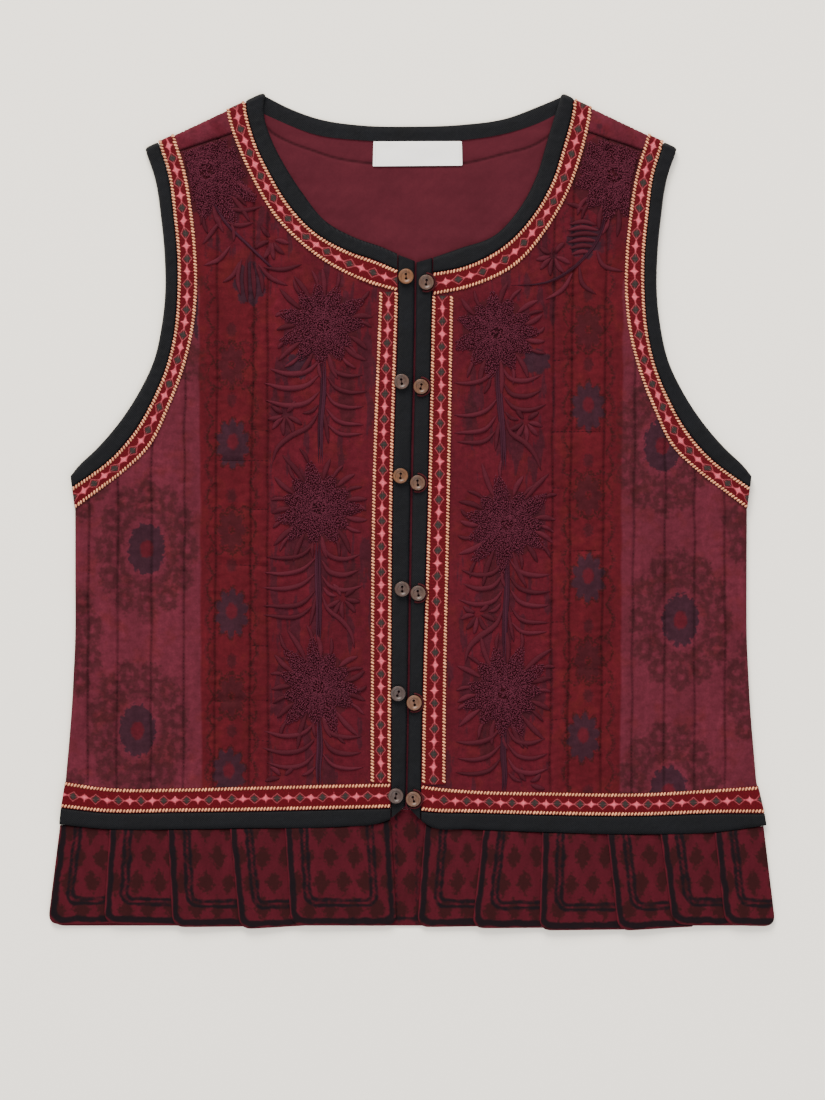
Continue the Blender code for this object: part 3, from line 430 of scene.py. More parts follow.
def mesh_piece(name, points, faces, material, fields=None, replaces=(), angle=40):
    """A smooth-shaded object from points in millimetres, riding on the vest."""
    mesh = bpy.data.meshes.new(name)
    mesh.from_pydata((np.asarray(points, float) * MM).tolist(), [], faces)
    shape = bmesh.new()
    shape.from_mesh(mesh)
    bmesh.ops.recalc_face_normals(shape, faces=shape.faces[:])
    shape.to_mesh(mesh)
    shape.free()
    for field, values in (fields or {}).items():
        layer = mesh.attributes.new(field, "FLOAT", "POINT")
        layer.data.foreach_set("value", np.asarray(values, np.float32))
    mesh.shade_smooth()
    mesh.set_sharp_from_angle(angle=math.radians(angle))
    mesh.materials.append(material)
    made = bpy.data.objects.new(name, mesh)
    bpy.context.scene.collection.objects.link(made)
    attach(made, "root")
    if replaces:
        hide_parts(*replaces)
    triangles = sum(len(face.vertices) - 2 for face in mesh.polygons)
    print(f"{name}: {triangles} triangles")
    return made


def flat_mesh(outline, points):
    """Triangles over a closed outline and the points inside it."""
    verts = [Vector(point) for point in np.vstack([outline, points]).tolist()]
    ring = list(range(len(outline)))
    flat = delaunay_2d_cdt(verts, [], [ring], 1, 1e-4)
    return np.array([tuple(v) for v in flat[0]]), [tuple(face) for face in flat[2]]


def honeycomb(outline, spacing, margin):
    """Points in a honeycomb inside an outline, clear of its edge."""
    low, high = outline.min(0), outline.max(0)
    rows = np.arange(low[1], high[1], spacing * 0.866)
    columns = np.arange(low[0], high[0], spacing)
    x, y = np.meshgrid(columns, rows)
    x[1::2] += spacing / 2
    points = np.stack([x.ravel(), y.ravel()], axis=1)
    points = points[inside(points, outline)]
    return points[distance_to(points, outline, closed=True) > margin]


def inset_line(outline, width):
    """A closed outline moved inwards by a small width; it runs anticlockwise."""
    before = outline - np.roll(outline, 1, axis=0)
    after = np.roll(outline, -1, axis=0) - outline
    along = before / np.linalg.norm(before, axis=1)[:, None]
    along += after / np.linalg.norm(after, axis=1)[:, None]
    along /= np.linalg.norm(along, axis=1)[:, None] + 1e-9
    return outline + np.stack([-along[:, 1], along[:, 0]], axis=1) * width


def closed_outline(points, spacing):
    """Evenly spaced points round a closed outline, anticlockwise."""
    line = spaced(list(points) + [points[0]], spacing)[:-1]
    x, y = line[:, 0], line[:, 1]
    if np.sum(x * np.roll(y, -1) - np.roll(x, -1) * y) < 0:
        line = line[::-1]
    return line


def boundary_edges(faces):
    """Directed edges that only one face has."""
    seen = {(a, b) for face in faces for a, b in zip(face, face[1:] + face[:1])}
    return [(a, b) for a, b in seen if (b, a) not in seen]


def shell(flat, faces, low, high):
    """A closed shell from a flat mesh: a fine upper face and a lower one with the same points."""
    count = len(flat)
    points = np.vstack([np.column_stack([flat, high]), np.column_stack([flat, low])])
    closed = list(faces) + [tuple(i + count for i in reversed(face)) for face in faces]
    closed += [(b, a, a + count, b + count) for a, b in boundary_edges(faces)]
    return points, closed


def shell_on_outline(flat, faces, high, low_height):
    """A closed shell whose lower face is plain and has only the outline's points."""
    edges = boundary_edges(faces)
    order = [a for a, _ in edges]
    rim = {a: len(flat) + n for n, a in enumerate(order)}
    lower = np.column_stack([flat[order], np.full(len(order), low_height)])
    closed = list(faces) + [(b, a, rim[a], rim[b]) for a, b in edges]
    following = dict(edges)
    ring = [order[0]]
    while following[ring[-1]] != ring[0]:
        ring.append(following[ring[-1]])
    verts = [Vector(point) for point in flat[ring].tolist()]
    floor = delaunay_2d_cdt(verts, [], [list(range(len(ring)))], 1, 1e-4)
    same = [rim[ring[ids[0]]] for ids in floor[3]]
    closed += [tuple(same[i] for i in reversed(face)) for face in floor[2]]
    return np.vstack([np.column_stack([flat, high]), lower]), closed, order


swatch = closed_outline([(0, 0), (10, 0), (10, 10), (0, 10)], 1.0)
print("triangles in a 10 mm swatch:", len(flat_mesh(swatch, honeycomb(swatch, 1.5, 0.8))[1]))

# %% [markdown]
# Small repeated shapes
#
# Thread is modelled, because light catches it. A stitch is a little capsule of a few dozen
# points, and many of them are set down in one joined mesh, each with a shade of its own.

# %% Stitches


def tube_faces(sides, rings, start=0):
    """Faces round rings of points, without the ends."""
    faces = []
    for ring in range(start, start + (rings - 1) * sides, sides):
        for i in range(sides):
            j = (i + 1) % sides
            faces.append((ring + i, ring + j, ring + sides + j, ring + sides + i))
    return faces


def capped_tube(sides, rings, start=0):
    last = start + (rings - 1) * sides
    ends = [tuple(range(start, start + sides))[::-1], tuple(range(last, last + sides))]
    return ends + tube_faces(sides, rings, start)


def capsule(sides=6, rings=3):
    """Points and faces of a long bead of length 1 and width 1, along x."""
    points = [(-0.5, 0.0, 0.0)]
    for ring in range(rings):
        turn = math.pi * (ring + 1) / (rings + 1)
        for i in range(sides):
            around = 2 * math.pi * i / sides
            width = 0.5 * math.sin(turn) ** 0.6
            points.append((-0.5 * math.cos(turn), width * math.cos(around), width * math.sin(around)))
    points.append((0.5, 0.0, 0.0))
    last = 1 + (rings - 1) * sides
    faces = [(0, 1 + (i + 1) % sides, 1 + i) for i in range(sides)] + tube_faces(sides, rings, 1)
    faces += [(last + i, last + (i + 1) % sides, len(points) - 1) for i in range(sides)]
    return np.array(points), faces


def set_down(centres, along, lengths, widths, heights, up=(0.0, 0.0, 1.0), sides=6, rings=3):
    """Many capsules as one set of points and faces, and the number of each point's capsule."""
    shape, faces = capsule(sides, rings)
    along = along / np.linalg.norm(along, axis=1)[:, None]
    across = np.cross(up, along)
    across /= np.linalg.norm(across, axis=1)[:, None]
    up = np.cross(along, across)
    points = centres[:, None, :]
    for i, (way, sizes) in enumerate(((along, lengths), (across, widths), (up, heights))):
        sized = way * np.broadcast_to(sizes, len(centres))[:, None]
        points = points + shape[None, :, i:i + 1] * sized[:, None, :]
    size = len(shape)
    every = [tuple(i + n * size for i in face) for n in range(len(centres)) for face in faces]
    return points.reshape(-1, 3), every, np.repeat(np.arange(len(centres)), size)


def thread_piece(name, stitches, material, draw):
    """Stitches as one piece, each with a shade of its own."""
    points, faces, number = stitches
    shade = draw.uniform(0, 1, number[-1] + 1)[number]
    return mesh_piece(name, points, faces, material, {"shade": shade}, angle=80)


shape, faces = capsule()
print("faces of one stitch:", len(faces))

# %% [markdown]
# Materials from nodes
#
# One function adds a node. It fills the sockets with numbers and colours and links what is
# itself a node, so a material reads like a recipe, from the yarn to the shader.

# %% The node helper
# A wave texture of scale 1 repeats about every 0.314 m
WAVE_REPEAT = 0.314


def add(tree, kind, sockets=None, out=None, **settings):
    """Add one node with its settings, fill or link its sockets, and give it or one of its outputs."""
    made = tree.nodes.new("ShaderNode" + kind)
    for name, value in settings.items():
        setattr(made, name, value)
    for key, value in (sockets or {}).items():
        if isinstance(key, int):
            socket = made.inputs[key]
        else:
            socket = next(s for s in made.inputs if s.enabled and s.name == key)
        if isinstance(value, bpy.types.Node):
            value = next(s for s in value.outputs if s.enabled)
        if isinstance(value, bpy.types.NodeSocket):
            tree.links.new(value, socket)
        else:
            socket.default_value = value
    return made.outputs[out] if out else made


def new_material(name, **finish):
    """A material with its shader's finish set, its tree, its shader and its Object coordinates."""
    made = bpy.data.materials.new(name)
    made.use_nodes = True
    tree = made.node_tree
    shader = tree.nodes["Principled BSDF"]
    for socket, value in finish.items():
        shader.inputs[socket.replace("_", " ")].default_value = value
    print("material:", name)
    return made, tree, shader, add(tree, "TexCoord", out="Object")


def blotches(tree, place, size_mm, detail=3.0, stretch=(1.0, 1.0, 1.0)):
    """Blotches of a size in millimetres, from 0 to 1, stretched along the axes."""
    turned = add(tree, "Mapping", {"Vector": place, "Scale": [1 / s for s in stretch]})
    return add(tree, "TexNoise", {"Vector": turned, "Scale": 1 / (size_mm * MM), "Detail": detail})


def stains(tree, place, size_mm, detail, reach, span=(0.3, 0.7), stretch=(1.0, 1.0, 1.0)):
    """Blotches as distances in millimetres: reach is what the two ends of span become."""
    return add(tree, "MapRange", {
        "Value": blotches(tree, place, size_mm, detail, stretch),
        "From Min": span[0], "From Max": span[1], "To Min": reach[0], "To Max": reach[1],
    })


def printed(tree, under, distance, colour, soft_mm, strength=1.0, bleed=None):
    """Colour laid where a distance in millimetres is below zero, with a soft bled edge.

    The distance is a node, or the name of one that the mesh keeps on its points.
    """
    if isinstance(distance, str):
        distance = add(tree, "Attribute", out="Fac", attribute_name=distance)
    if bleed:
        distance = add(tree, "Math", {0: distance, 1: bleed}, operation="ADD")
    cover = add(tree, "MapRange", {
        "Value": distance, "From Min": soft_mm, "From Max": -soft_mm,
        "To Min": 0.0, "To Max": strength,
    })
    return add(tree, "Mix", {"Factor": cover, "A": under, "B": linear(colour)}, data_type="RGBA")


def tinted(tree, colour, amount, low, high, span=(0.25, 0.75)):
    """A colour times low where an amount is at the start of span, and times high at its end."""
    value = add(tree, "MapRange", {
        "Value": amount, "From Min": span[0], "From Max": span[1], "To Min": low, "To Max": high,
    })
    return add(tree, "HueSaturation", {"Color": colour, "Value": value})


def plain_weave(tree, place, thread_mm):
    """Height of a plain weave: two sets of threads, over and under."""
    warp, weft = [
        add(tree, "TexWave", {"Vector": place, "Scale": WAVE_REPEAT / (thread_mm * MM), "Distortion": 0.6,
                              "Detail": 1.0, "Detail Scale": 2.0}, bands_direction=way)
        for way in ("X", "Y")
    ]
    return add(tree, "Math", {0: warp, 1: weft}, operation="MAXIMUM")


def finished(tree, shader, colour, height=None, depth_mm=0.0, strength=0.0):
    """Lay the colour on the shader and, where a height is given, its bump."""
    tree.links.new(next(s for s in colour.outputs if s.enabled), shader.inputs["Base Color"])
    if height is not None:
        bump = add(tree, "Bump", {"Height": height, "Distance": depth_mm * MM, "Strength": strength})
        tree.links.new(bump.outputs["Normal"], shader.inputs["Normal"])


print("wave scale of a 1 mm thread:", round(WAVE_REPEAT / MM))

# %% [markdown]
# The printed and quilted cotton
#
# The fronts are plain-woven cotton, dyed red and plum and block printed with flowers in dark
# brown and a greyed purple. Cotton is matt, with a little bloom at grazing angles, so it gets a
# high roughness and some sheen. The prints are distances kept on the mesh: the shader turns
# each into a crisp edge, and noise lets the dye bleed. Real threads are 0.3 mm apart, too fine
# to show, so the weave is drawn at 0.9 mm.

# %% Printed cotton
THREAD_SPACING = 0.9
COTTON = {
    "Specular_IOR_Level": 0.08, "Sheen_Weight": 0.04, "Sheen_Roughness": 0.45,
    "Sheen_Tint": linear("#a86a72"),
}


def printed_cotton():
    made, tree, shader, place = new_material("block_printed_cotton", Roughness=0.86, **COTTON)
    worked, stitch = [
        add(tree, "Attribute", out="Fac", attribute_name=name) for name in ("worked", "stitch")
    ]
    fine = blotches(tree, place, 1.4, 4.0)
    ragged = stains(tree, place, 3.0, 6.0, (-2.6, 2.6))
    crisp = stains(tree, place, 1.4, 4.0, (-0.8, 0.8))
    rust = stains(tree, place, 13.0, 4.0, (2.0, -2.0), (0.5, 0.68))
    patch = stains(tree, place, 17.0, 2.0, (1.5, -1.5), (0.54, 0.6), (0.42, 1.9, 1.0))
    patch = add(tree, "Math", {0: patch, 1: worked}, operation="MAXIMUM")
    ground = printed(tree, linear("#420c14"), "plum", "#4a1924", 0.8)
    # The vine layer also lays painted shade: a dark disc under each knotted head and dark patches beside
    # the stems
    for distance, colour, soft_mm, strength, bleed in (
        ("worked", "#410d17", 9.0, 0.9, None), (rust, "#481512", 2.0, 0.35, crisp),
        (patch, "#240f18", 1.2, 0.55, crisp), ("vine_and_painted_shade", "#2a0d13", 0.8, 0.66, crisp),
        ("trace", "#2a0c0c", 0.5, 0.85, crisp), ("rosette", "#260f10", 1.8, 0.6, ragged),
        ("star", "#27131c", 0.6, 0.92, crisp), ("heart", "#430e17", 0.7, 0.9, crisp),
    ):
        ground = printed(tree, ground, distance, colour, soft_mm, strength, bleed)
    ground = tinted(tree, ground, blotches(tree, place, 38.0, 3.0, (1.0, 2.2, 1.0)), 0.84, 1.16)
    ground = tinted(tree, ground, blotches(tree, place, 9.0, 4.0, (0.6, 3.0, 1.0)), 0.88, 1.12)
    ground = tinted(tree, ground, blotches(tree, place, 5.0, 5.0), 0.82, 1.18)
    ground = tinted(tree, ground, fine, 0.85, 1.15)
    # Painted shade: darker along stitch lines, seams and the yoke's edge, as in their grooves; where no
    # thread is modelled it also stands for the thread.
    ground = tinted(tree, ground, stitch, 0.52, 1.0, (0.2, 1.4))
    slub = add(tree, "Math", {0: plain_weave(tree, place, THREAD_SPACING), 1: fine}, operation="ADD")
    finished(tree, shader, ground, slub, 0.16, 0.55)
    return made


PRINTED_COTTON = printed_cotton()

# %% [markdown]
# The plain lining
#
# Inside the back the lining shows: plain dyed cotton lawn, burgundy, thinner and smoother than
# the print, with soft rumples, and a dark line of painted shade along the dip of the facing seam.

# %% Lining


def lining_cotton():
    made, tree, shader, place = new_material("cotton_lawn", Roughness=0.9, **COTTON)
    stitch = add(tree, "Attribute", out="Fac", attribute_name="stitch")
    colour = tinted(tree, linear("#41151e"), blotches(tree, place, 30.0, 4.0), 0.88, 1.1)
    colour = tinted(tree, colour, blotches(tree, place, 1.6, 3.0), 0.93, 1.07)
    # Painted shade: the lining is darkened along the dip of the facing seam.
    colour = tinted(tree, colour, stitch, 0.45, 1.0, (0.4, 1.5))
    finished(tree, shader, colour, plain_weave(tree, place, THREAD_SPACING), 0.1, 0.45)
    return made


LINING = lining_cotton()

# %% [markdown]
# Black binding
#
# The edges are bound in black bias-cut cotton sateen. It is not pure black: a worn blue-black,
# a little smoother than the print, with a fine diagonal rib from the bias cut.

# %% Binding cloth


def bias_sateen():
    made, tree, shader, place = new_material(
        "bias_cotton_sateen", Roughness=0.66, Specular_IOR_Level=0.14, Sheen_Weight=0.03,
        Sheen_Roughness=0.4, Sheen_Tint=linear("#8f97a6"),
    )
    colour = tinted(tree, linear("#06070b"), blotches(tree, place, 14.0, 4.0), 0.7, 1.35)
    bias = add(tree, "TexWave", {"Vector": place, "Scale": WAVE_REPEAT / (0.8 * MM), "Distortion": 0.8},
               bands_direction="DIAGONAL")
    rib = add(tree, "Math", {0: bias, 1: 0.35}, operation="MULTIPLY")
    rib = add(tree, "Math", {0: rib, 1: blotches(tree, place, 5.0, 5.0)}, operation="ADD")
    finished(tree, shader, colour, rib, 1.0, 0.7)
    return made


SATEEN = bias_sateen()

# %% [markdown]
# The woven braid
#
# The braid is jacquard ribbon. Crimson ground, and down its middle dark diamonds in a thin
# pink outline alternate with pink stars, one pair every 18 mm. Its own along and across, in
# millimetres, are kept on its points, so the pattern bends with the ribbon.

# %% Braid cloth
BRAID_REPEAT = 18.3
HEM_BRAID_REPEAT = 16.3


def jacquard_ribbon():
    made, tree, shader, place = new_material("jacquard_ribbon", Roughness=0.78, **COTTON)
    along, across = [
        add(tree, "Attribute", out="Fac", attribute_name=name) for name in ("along", "across")
    ]
    shaken = stains(tree, place, 2.2, 3.0, (-0.45, 0.45))
    repeat = add(tree, "Math", {0: along, 1: BRAID_REPEAT / 2}, operation="PINGPONG")
    from_dark = add(tree, "Math", {0: repeat, 1: shaken}, operation="ADD")
    from_pink = add(tree, "Math", {0: BRAID_REPEAT / 2, 1: from_dark}, operation="SUBTRACT")
    out = add(tree, "Math", {0: across}, operation="ABSOLUTE")

    def diamond(run, half_length, half_height):
        """Millimetres to the edge of a diamond on the middle line, below zero inside."""
        run = add(tree, "Math", {0: run}, operation="ABSOLUTE")
        run = add(tree, "Math", {0: run, 1: half_height / half_length}, operation="MULTIPLY")
        both = add(tree, "Math", {0: run, 1: out}, operation="ADD")
        return add(tree, "Math", {0: both, 1: half_height}, operation="SUBTRACT")

    dark = diamond(from_dark, 3.3, 2.5)
    lattice = add(tree, "Math", {0: diamond(from_dark, 4.7, 3.5)}, operation="ABSOLUTE")
    lattice = add(tree, "Math", {0: lattice, 1: 0.26}, operation="SUBTRACT")
    star = diamond(from_pink, 2.9, 2.1)
    colour = printed(tree, linear("#47050d"), lattice, "#8e444a", 0.3, 0.75)
    colour = printed(tree, colour, dark, "#262523", 0.3, 0.92)
    for shape in (star, diamond(from_pink, 0.8, 3.4), diamond(from_pink, 4.6, 0.7)):
        colour = printed(tree, colour, shape, "#b84f5c", 0.7, 0.85)
    colour = tinted(tree, colour, blotches(tree, place, 1.2, 3.0), 0.72, 1.3)
    rib = add(tree, "Math", {0: along, 1: 2 * math.pi / 1.1}, operation="MULTIPLY")
    rib = add(tree, "Math", {0: rib}, operation="SINE")
    raised = add(tree, "Math", {0: star, 1: dark}, operation="MINIMUM")
    raised = add(tree, "MapRange", {"Value": raised, "From Min": 0.6, "From Max": -0.6,
                                    "To Min": 0.0, "To Max": 3.0})
    finished(tree, shader, colour, add(tree, "Math", {0: rib, 1: raised}, operation="ADD"), 0.12, 0.7)
    return made


JACQUARD = jacquard_ribbon()

# %% [markdown]
# Threads
#
# Cord, embroidery floss and sewing thread are the same thing at different sizes: twisted
# fibre, a little glossy along its length. Each stitch has its own shade number, so no two
# neighbours match.

# %% Thread


def thread_material(name, colour, dark, light, roughness, gloss, twist_mm):
    made, tree, shader, place = new_material(name, Roughness=roughness, Specular_IOR_Level=gloss)
    shade = add(tree, "Attribute", out="Fac", attribute_name="shade")
    tone = tinted(tree, linear(colour), shade, dark, light, (0.0, 1.0))
    tone = tinted(tree, tone, blotches(tree, place, 0.9), 0.86, 1.14)
    ply = add(tree, "TexWave", {"Vector": place, "Scale": WAVE_REPEAT / (twist_mm * MM), "Distortion": 2.0},
              bands_direction="DIAGONAL")
    finished(tree, shader, tone, ply, 0.1, 0.6)
    return made


CREAM_CORD = thread_material("twisted_cotton_cord", "#c48766", 0.78, 1.2, 0.7, 0.1, 0.6)
FLOSS = thread_material("embroidery_floss", "#3b121b", 0.76, 1.25, 0.75, 0.05, 0.7)
KNOT_FLOSS = thread_material("knotted_floss", "#451b27", 0.76, 1.24, 0.75, 0.05, 0.7)
STEM_FLOSS = thread_material("purple_floss", "#2f131e", 0.7, 1.3, 0.75, 0.05, 0.7)
DARK_THREAD = thread_material("sewing_thread", "#200b10", 0.8, 1.15, 0.75, 0.06, 0.5)
LOOP_CORD_CLOTH = thread_material("rolled_cotton_loop", "#350a10", 0.85, 1.1, 0.75, 0.12, 0.9)
WHITE_THREAD = thread_material("white_polyester_thread", "#dad8d4", 0.9, 1.0, 0.5, 0.2, 0.5)
print("materials:", len(bpy.data.materials))

# %% [markdown]
# Quilting
#
# The fronts are quilted in upright rows about 23 mm wide. Wadding pushes each row up into a
# soft ridge, and the running stitch pulls it down into a narrow groove with puckers beside it.
# The height is worked out at every point: a rounded puff between the lines, a groove on them,
# and short creases across that fade away from the stitches.

# %% The quilting lines and their relief
QUILT_CHEST = 189.0
QUILT_HEM = -192.0
# The embroidered ground is plain, and the quilting rises between these two distances out
PLAIN_TO = 66.0
QUILTED_FROM = 84.0
QuiltLine = namedtuple("QuiltLine", "chest hem")
QUILTING = {
    RIGHT: [
        QuiltLine(103.0, 103.0), QuiltLine(113.0, 116.6), QuiltLine(139.0, 141.8),
        QuiltLine(162.0, 163.8), QuiltLine(185.8, 187.2), QuiltLine(209.5, 211.7),
        QuiltLine(230.4, 232.6),
    ],
    LEFT: [
        QuiltLine(103.0, 100.0), QuiltLine(116.6, 112.3), QuiltLine(140.4, 136.1),
        QuiltLine(162.0, 158.4), QuiltLine(184.3, 181.4), QuiltLine(204.5, 203.4),
        QuiltLine(225.0, 225.8),
    ],
}
# Short cross lines of stitching in the column of star flowers, by their height in the photo
CROSS_STITCHES = {RIGHT: (431, 461, 509, 566, 646, 700, 741), LEFT: (361, 432, 488, 552, 622, 668, 720)}


def line_out(side, line, y):
    """How far out a quilting line is at a height, with the wander of a hand-guided seam."""
    share = (QUILT_CHEST - y) / (QUILT_CHEST - QUILT_HEM)
    wander = waves(y, y * 0, 55.0, int(line.chest * 7) + side, count=5) * 0.6
    return line.chest + (line.hem - line.chest) * share + wander


def cross_segments(side):
    """The ends of each short cross line, between the first and the third upright line."""
    segments = []
    for n, py in enumerate(CROSS_STITCHES[side]):
        y = from_photo(0, py)[1]
        start = line_out(side, QUILTING[side][0], np.array([y]))[0]
        end = line_out(side, QUILTING[side][1 + n % 2], np.array([y]))[0]
        segments.append(np.array([[side * start, y], [side * end, y + 1.5 - n % 3]]))
    return segments


def quilting_at(side, points):
    """Height of the puffs and distance to the nearest stitch line, at each point."""
    x, y = points[:, 0], points[:, 1]
    out = side * x
    lines = np.array([line_out(side, line, y) for line in QUILTING[side]])
    stitch = np.abs(lines - out).min(axis=0)
    lines = np.vstack([np.full_like(out, PLAIN_TO), lines, lines[-1] + 22.0])
    puff = np.zeros_like(out)
    for near, far in zip(lines[:-1], lines[1:]):
        share = (out - near) / (far - near)
        within = (share >= 0) & (share < 1)
        round_top = np.sin(math.pi * np.clip(share, 0, 1)) ** 0.55
        puff = np.where(within, round_top * np.clip((far - near) / 22.0, 0.55, 1.0), puff)
    puff = np.where(out < QUILTED_FROM, np.maximum(puff, ramp(-out, -QUILTED_FROM, -PLAIN_TO)), puff)
    puff = np.where(out < PLAIN_TO, 1.0, puff)
    for segment in cross_segments(side):
        away = distance_to(points, segment)
        stitch = np.minimum(stitch, away + 0.6)
        puff *= 1 - 0.75 * np.exp(-(away / 2.6) ** 2)
    plump = 0.8 + 0.24 * waves(x, y, 34.0, 11 + side, (0.6, 1.6))
    pucker = waves(x, y, 7.5, 23 + side, (2.4, 0.75)) * np.exp(-stitch / 6.0)
    rumple = waves(x, y, 26.0, 31 + side, (1.0, 1.4))
    drag = waves(x, y, 60.0, 37 + side, (0.5, 2.0))
    height = STITCHED_TOP + (PUFFED_TOP - STITCHED_TOP) * puff * plump
    crinkle = waves(x, y, 5.5, 43 + side, (1.0, 1.3))
    height += 0.6 * pucker + 0.3 * rumple + 0.3 * drag + (0.14 + 0.18 * ramp(-out, -104.0, -90.0)) * crinkle
    height -= 0.55 * np.exp(-(stitch / 0.9) ** 2)
    return height, stitch


print("quilting lines on each front:", [len(lines) for lines in QUILTING.values()])

# %% [markdown]
# The cut of a front
#
# A front is bounded by its armhole, the shoulder seam, the neck, the centre edge, the hem and
# the side seam. Its outline follows the border rows of the tables, and a flat band inside it
# carries the braid.

# %% Front outline


def split_at_depth(fold, points, depth):
    """Split a line that runs down from the fold where it is depth below it."""
    for i in range(1, len(points)):
        reached = fold.below(points[i])
        if reached > depth:
            before = fold.below(points[i - 1])
            cut = points[i - 1].lerp(points[i], (depth - before) / (reached - before))
            return points[:i], cut, points[i:]
    return points, points[-1], []


def below_fold(side, rows):
    """Rows of a front table, with the first one moved down onto the fold."""
    fold = FOLDS[side]
    first = type(rows[0])(*[fold.on_fold(point) for point in rows[0]])
    return [first] + [row for row in rows[1:] if fold.below(row.border) > 1.0]


def shoulder_seam(side):
    """The ends of the seam between front and yoke."""
    fold = FOLDS[side]
    ends = []
    for table, depth in ((ARMHOLE, SEAM_AT_ARMHOLE), (NECK[side], SEAM_AT_NECK)):
        line = [row.border for row in below_fold(side, side_rows(side, table, 8))]
        ends.append(tuple(split_at_depth(fold, line, depth)[1]))
    return np.array(ends)


def front_outline(side):
    fold = FOLDS[side]
    armhole = [row.border for row in below_fold(side, side_rows(side, ARMHOLE, 8))]
    neck = [row.border for row in below_fold(side, side_rows(side, NECK[side], 8))]
    edge = [row.border for row in side_rows(side, FRONT_EDGE[side][1:-1], 4)]
    hem = [row.border for row in side_rows(side, HEM[side], 4)]
    _, armhole_cut, armhole_below = split_at_depth(fold, armhole, SEAM_AT_ARMHOLE + SEAM_GAP / 2)
    _, neck_cut, neck_below = split_at_depth(fold, neck, SEAM_AT_NECK + SEAM_GAP / 2)
    seam = [Vector((side * out, up)) for out, up in smooth_line(SIDE_SEAM, 4)]
    outline = [neck_cut] + neck_below[:-4]
    outline += [point for point in edge if point.y < neck_below[-1].y - 2.0]
    outline += hem[1:] + seam[::-1] + armhole_below[::-1] + [armhole_cut]
    return closed_outline(outline, 1.5)


def trimmed_lines(side):
    """The borders that a trim covers, with the braid's width along each."""
    runs = []
    for rows in (ARMHOLE, NECK[side], FRONT_EDGE[side][1:-1], HEM[side]):
        placed_rows = side_rows(side, rows, 4)
        border = np.array([tuple(row.border) for row in placed_rows])
        widths = [(row.inner - row.border).length for row in placed_rows]
        runs.append((border, float(np.mean(widths))))
    return runs


def flat_band(side, points):
    """1 well inside the cloth and 0 under the braids."""
    free = np.ones(len(points))
    for border, width in trimmed_lines(side):
        away = distance_to(points, border)
        free = np.minimum(free, ramp(away, width - 1.0, width + 6.0))
    return free


def front_height(side, points):
    """Height of a front's upper face, and the distance to its nearest stitch line."""
    relief, stitch = quilting_at(side, points)
    free = flat_band(side, points)
    height = FLAT_TOP + (relief - FLAT_TOP) * free
    from_side = distance_to(points, np.array([(side * out, up) for out, up in SIDE_LINE]))
    height -= 1.6 * np.clip(1 - from_side / 3.2, 0, 1) ** 2
    height -= 0.35 * np.exp(-((from_side - 5.5) / 1.3) ** 2)
    return height, stitch


print("points round each front:", [len(front_outline(side)) for side in (RIGHT, LEFT)])

# %% [markdown]
# Block-printed flowers
#
# The printed motifs are drawn with sums: a star flower of ten petals with an oval heart, a
# garland of twelve small blossoms round a large oval, and ornaments between the stars.
# Each is a distance, below zero inside, so its edge stays sharp however coarse the mesh is.

# %% Printed motifs
STAR_SIZE = (12.4, 18.2)
STAR_HEART = (4.0, 5.6)
# Where each printed flower sits, in pixels of the photo
STARS = {RIGHT: [(233, 444), (232, 613), (229, 772)], LEFT: [(588, 407), (588, 578), (583, 737)]}
GARLANDS = {
    RIGHT: [(147, 549), (138, 730), (208, 318), (52, 640), (62, 458), (44, 822)],
    LEFT: [(680, 620), (668, 792), (662, 446), (776, 690), (775, 520)],
}
GARLAND_SIZE = (30.0, 41.0)
GARLAND_RING = (20.0, 27.5)
GARLAND_OVAL = (13.5, 19.0)
GARLAND_HEART = (4.8, 6.4)
BLOSSOM = 9.0
BLOSSOMS = 12
STAR_STEP = 119.0
# How far out the red stripe ends and the embroidered ground ends
STRIPE_OUT = 151.5
WORK_OUT = 101.5
# A distance well outside every motif
FAR = 30.0
# Slate patches printed behind the embroidery, and narrow dark red patches of painted shadow beside the
# stems: the middle and half the width and height
SLATES = {RIGHT: [(250, 284, 17, 23), (299, 366, 14, 14)], LEFT: [(584, 240, 18, 20), (536, 362, 15, 13)]}
PAINTED_SHADOWS = {
    RIGHT: [(347, 400, 9, 40), (352, 585, 8, 30), (300, 560, 16, 14)],
    LEFT: [(491, 590, 10, 42), (486, 740, 9, 26), (470, 420, 8, 28)],
}
# The embroidered heads, each on a dark disc of painted shade that darkens the gaps between its knots; the
# first is on the shoulder
HEADS = {
    RIGHT: [(207, 172), (324, 326), (319, 508), (319, 687)],
    LEFT: [(614, 176), (497, 333), (507, 524), (504, 693)],
}


def petal_shape(x, y, size, petals, notch, turn=0.0):
    """Distance to the edge of a flower with pointed petals round an oval."""
    angle = np.arctan2(y / size[1], x / size[0]) + turn
    radius = np.hypot(x / size[0], y / size[1])
    rim = 1 - notch * (1 - np.abs(np.cos(angle * petals / 2)) ** 0.8)
    return (radius - rim) * min(size)


def oval(x, y, middle, size):
    """Distance to the edge of an oval."""
    return (np.hypot((x - middle[0]) / size[0], (y - middle[1]) / size[1]) - 1) * size[0]


def star_fields(side, x, y):
    star = np.full_like(x, FAR)
    heart = np.full_like(x, FAR)
    for n, spot in enumerate(STARS[side]):
        cx, cy = from_photo(*spot)
        star = np.minimum(star, petal_shape(x - cx, y - cy, STAR_SIZE, 10, 0.34, math.pi / 2 + 0.06 * n))
        heart = np.minimum(heart, oval(x, y, (cx, cy + 1.5), STAR_HEART))
    return star, heart


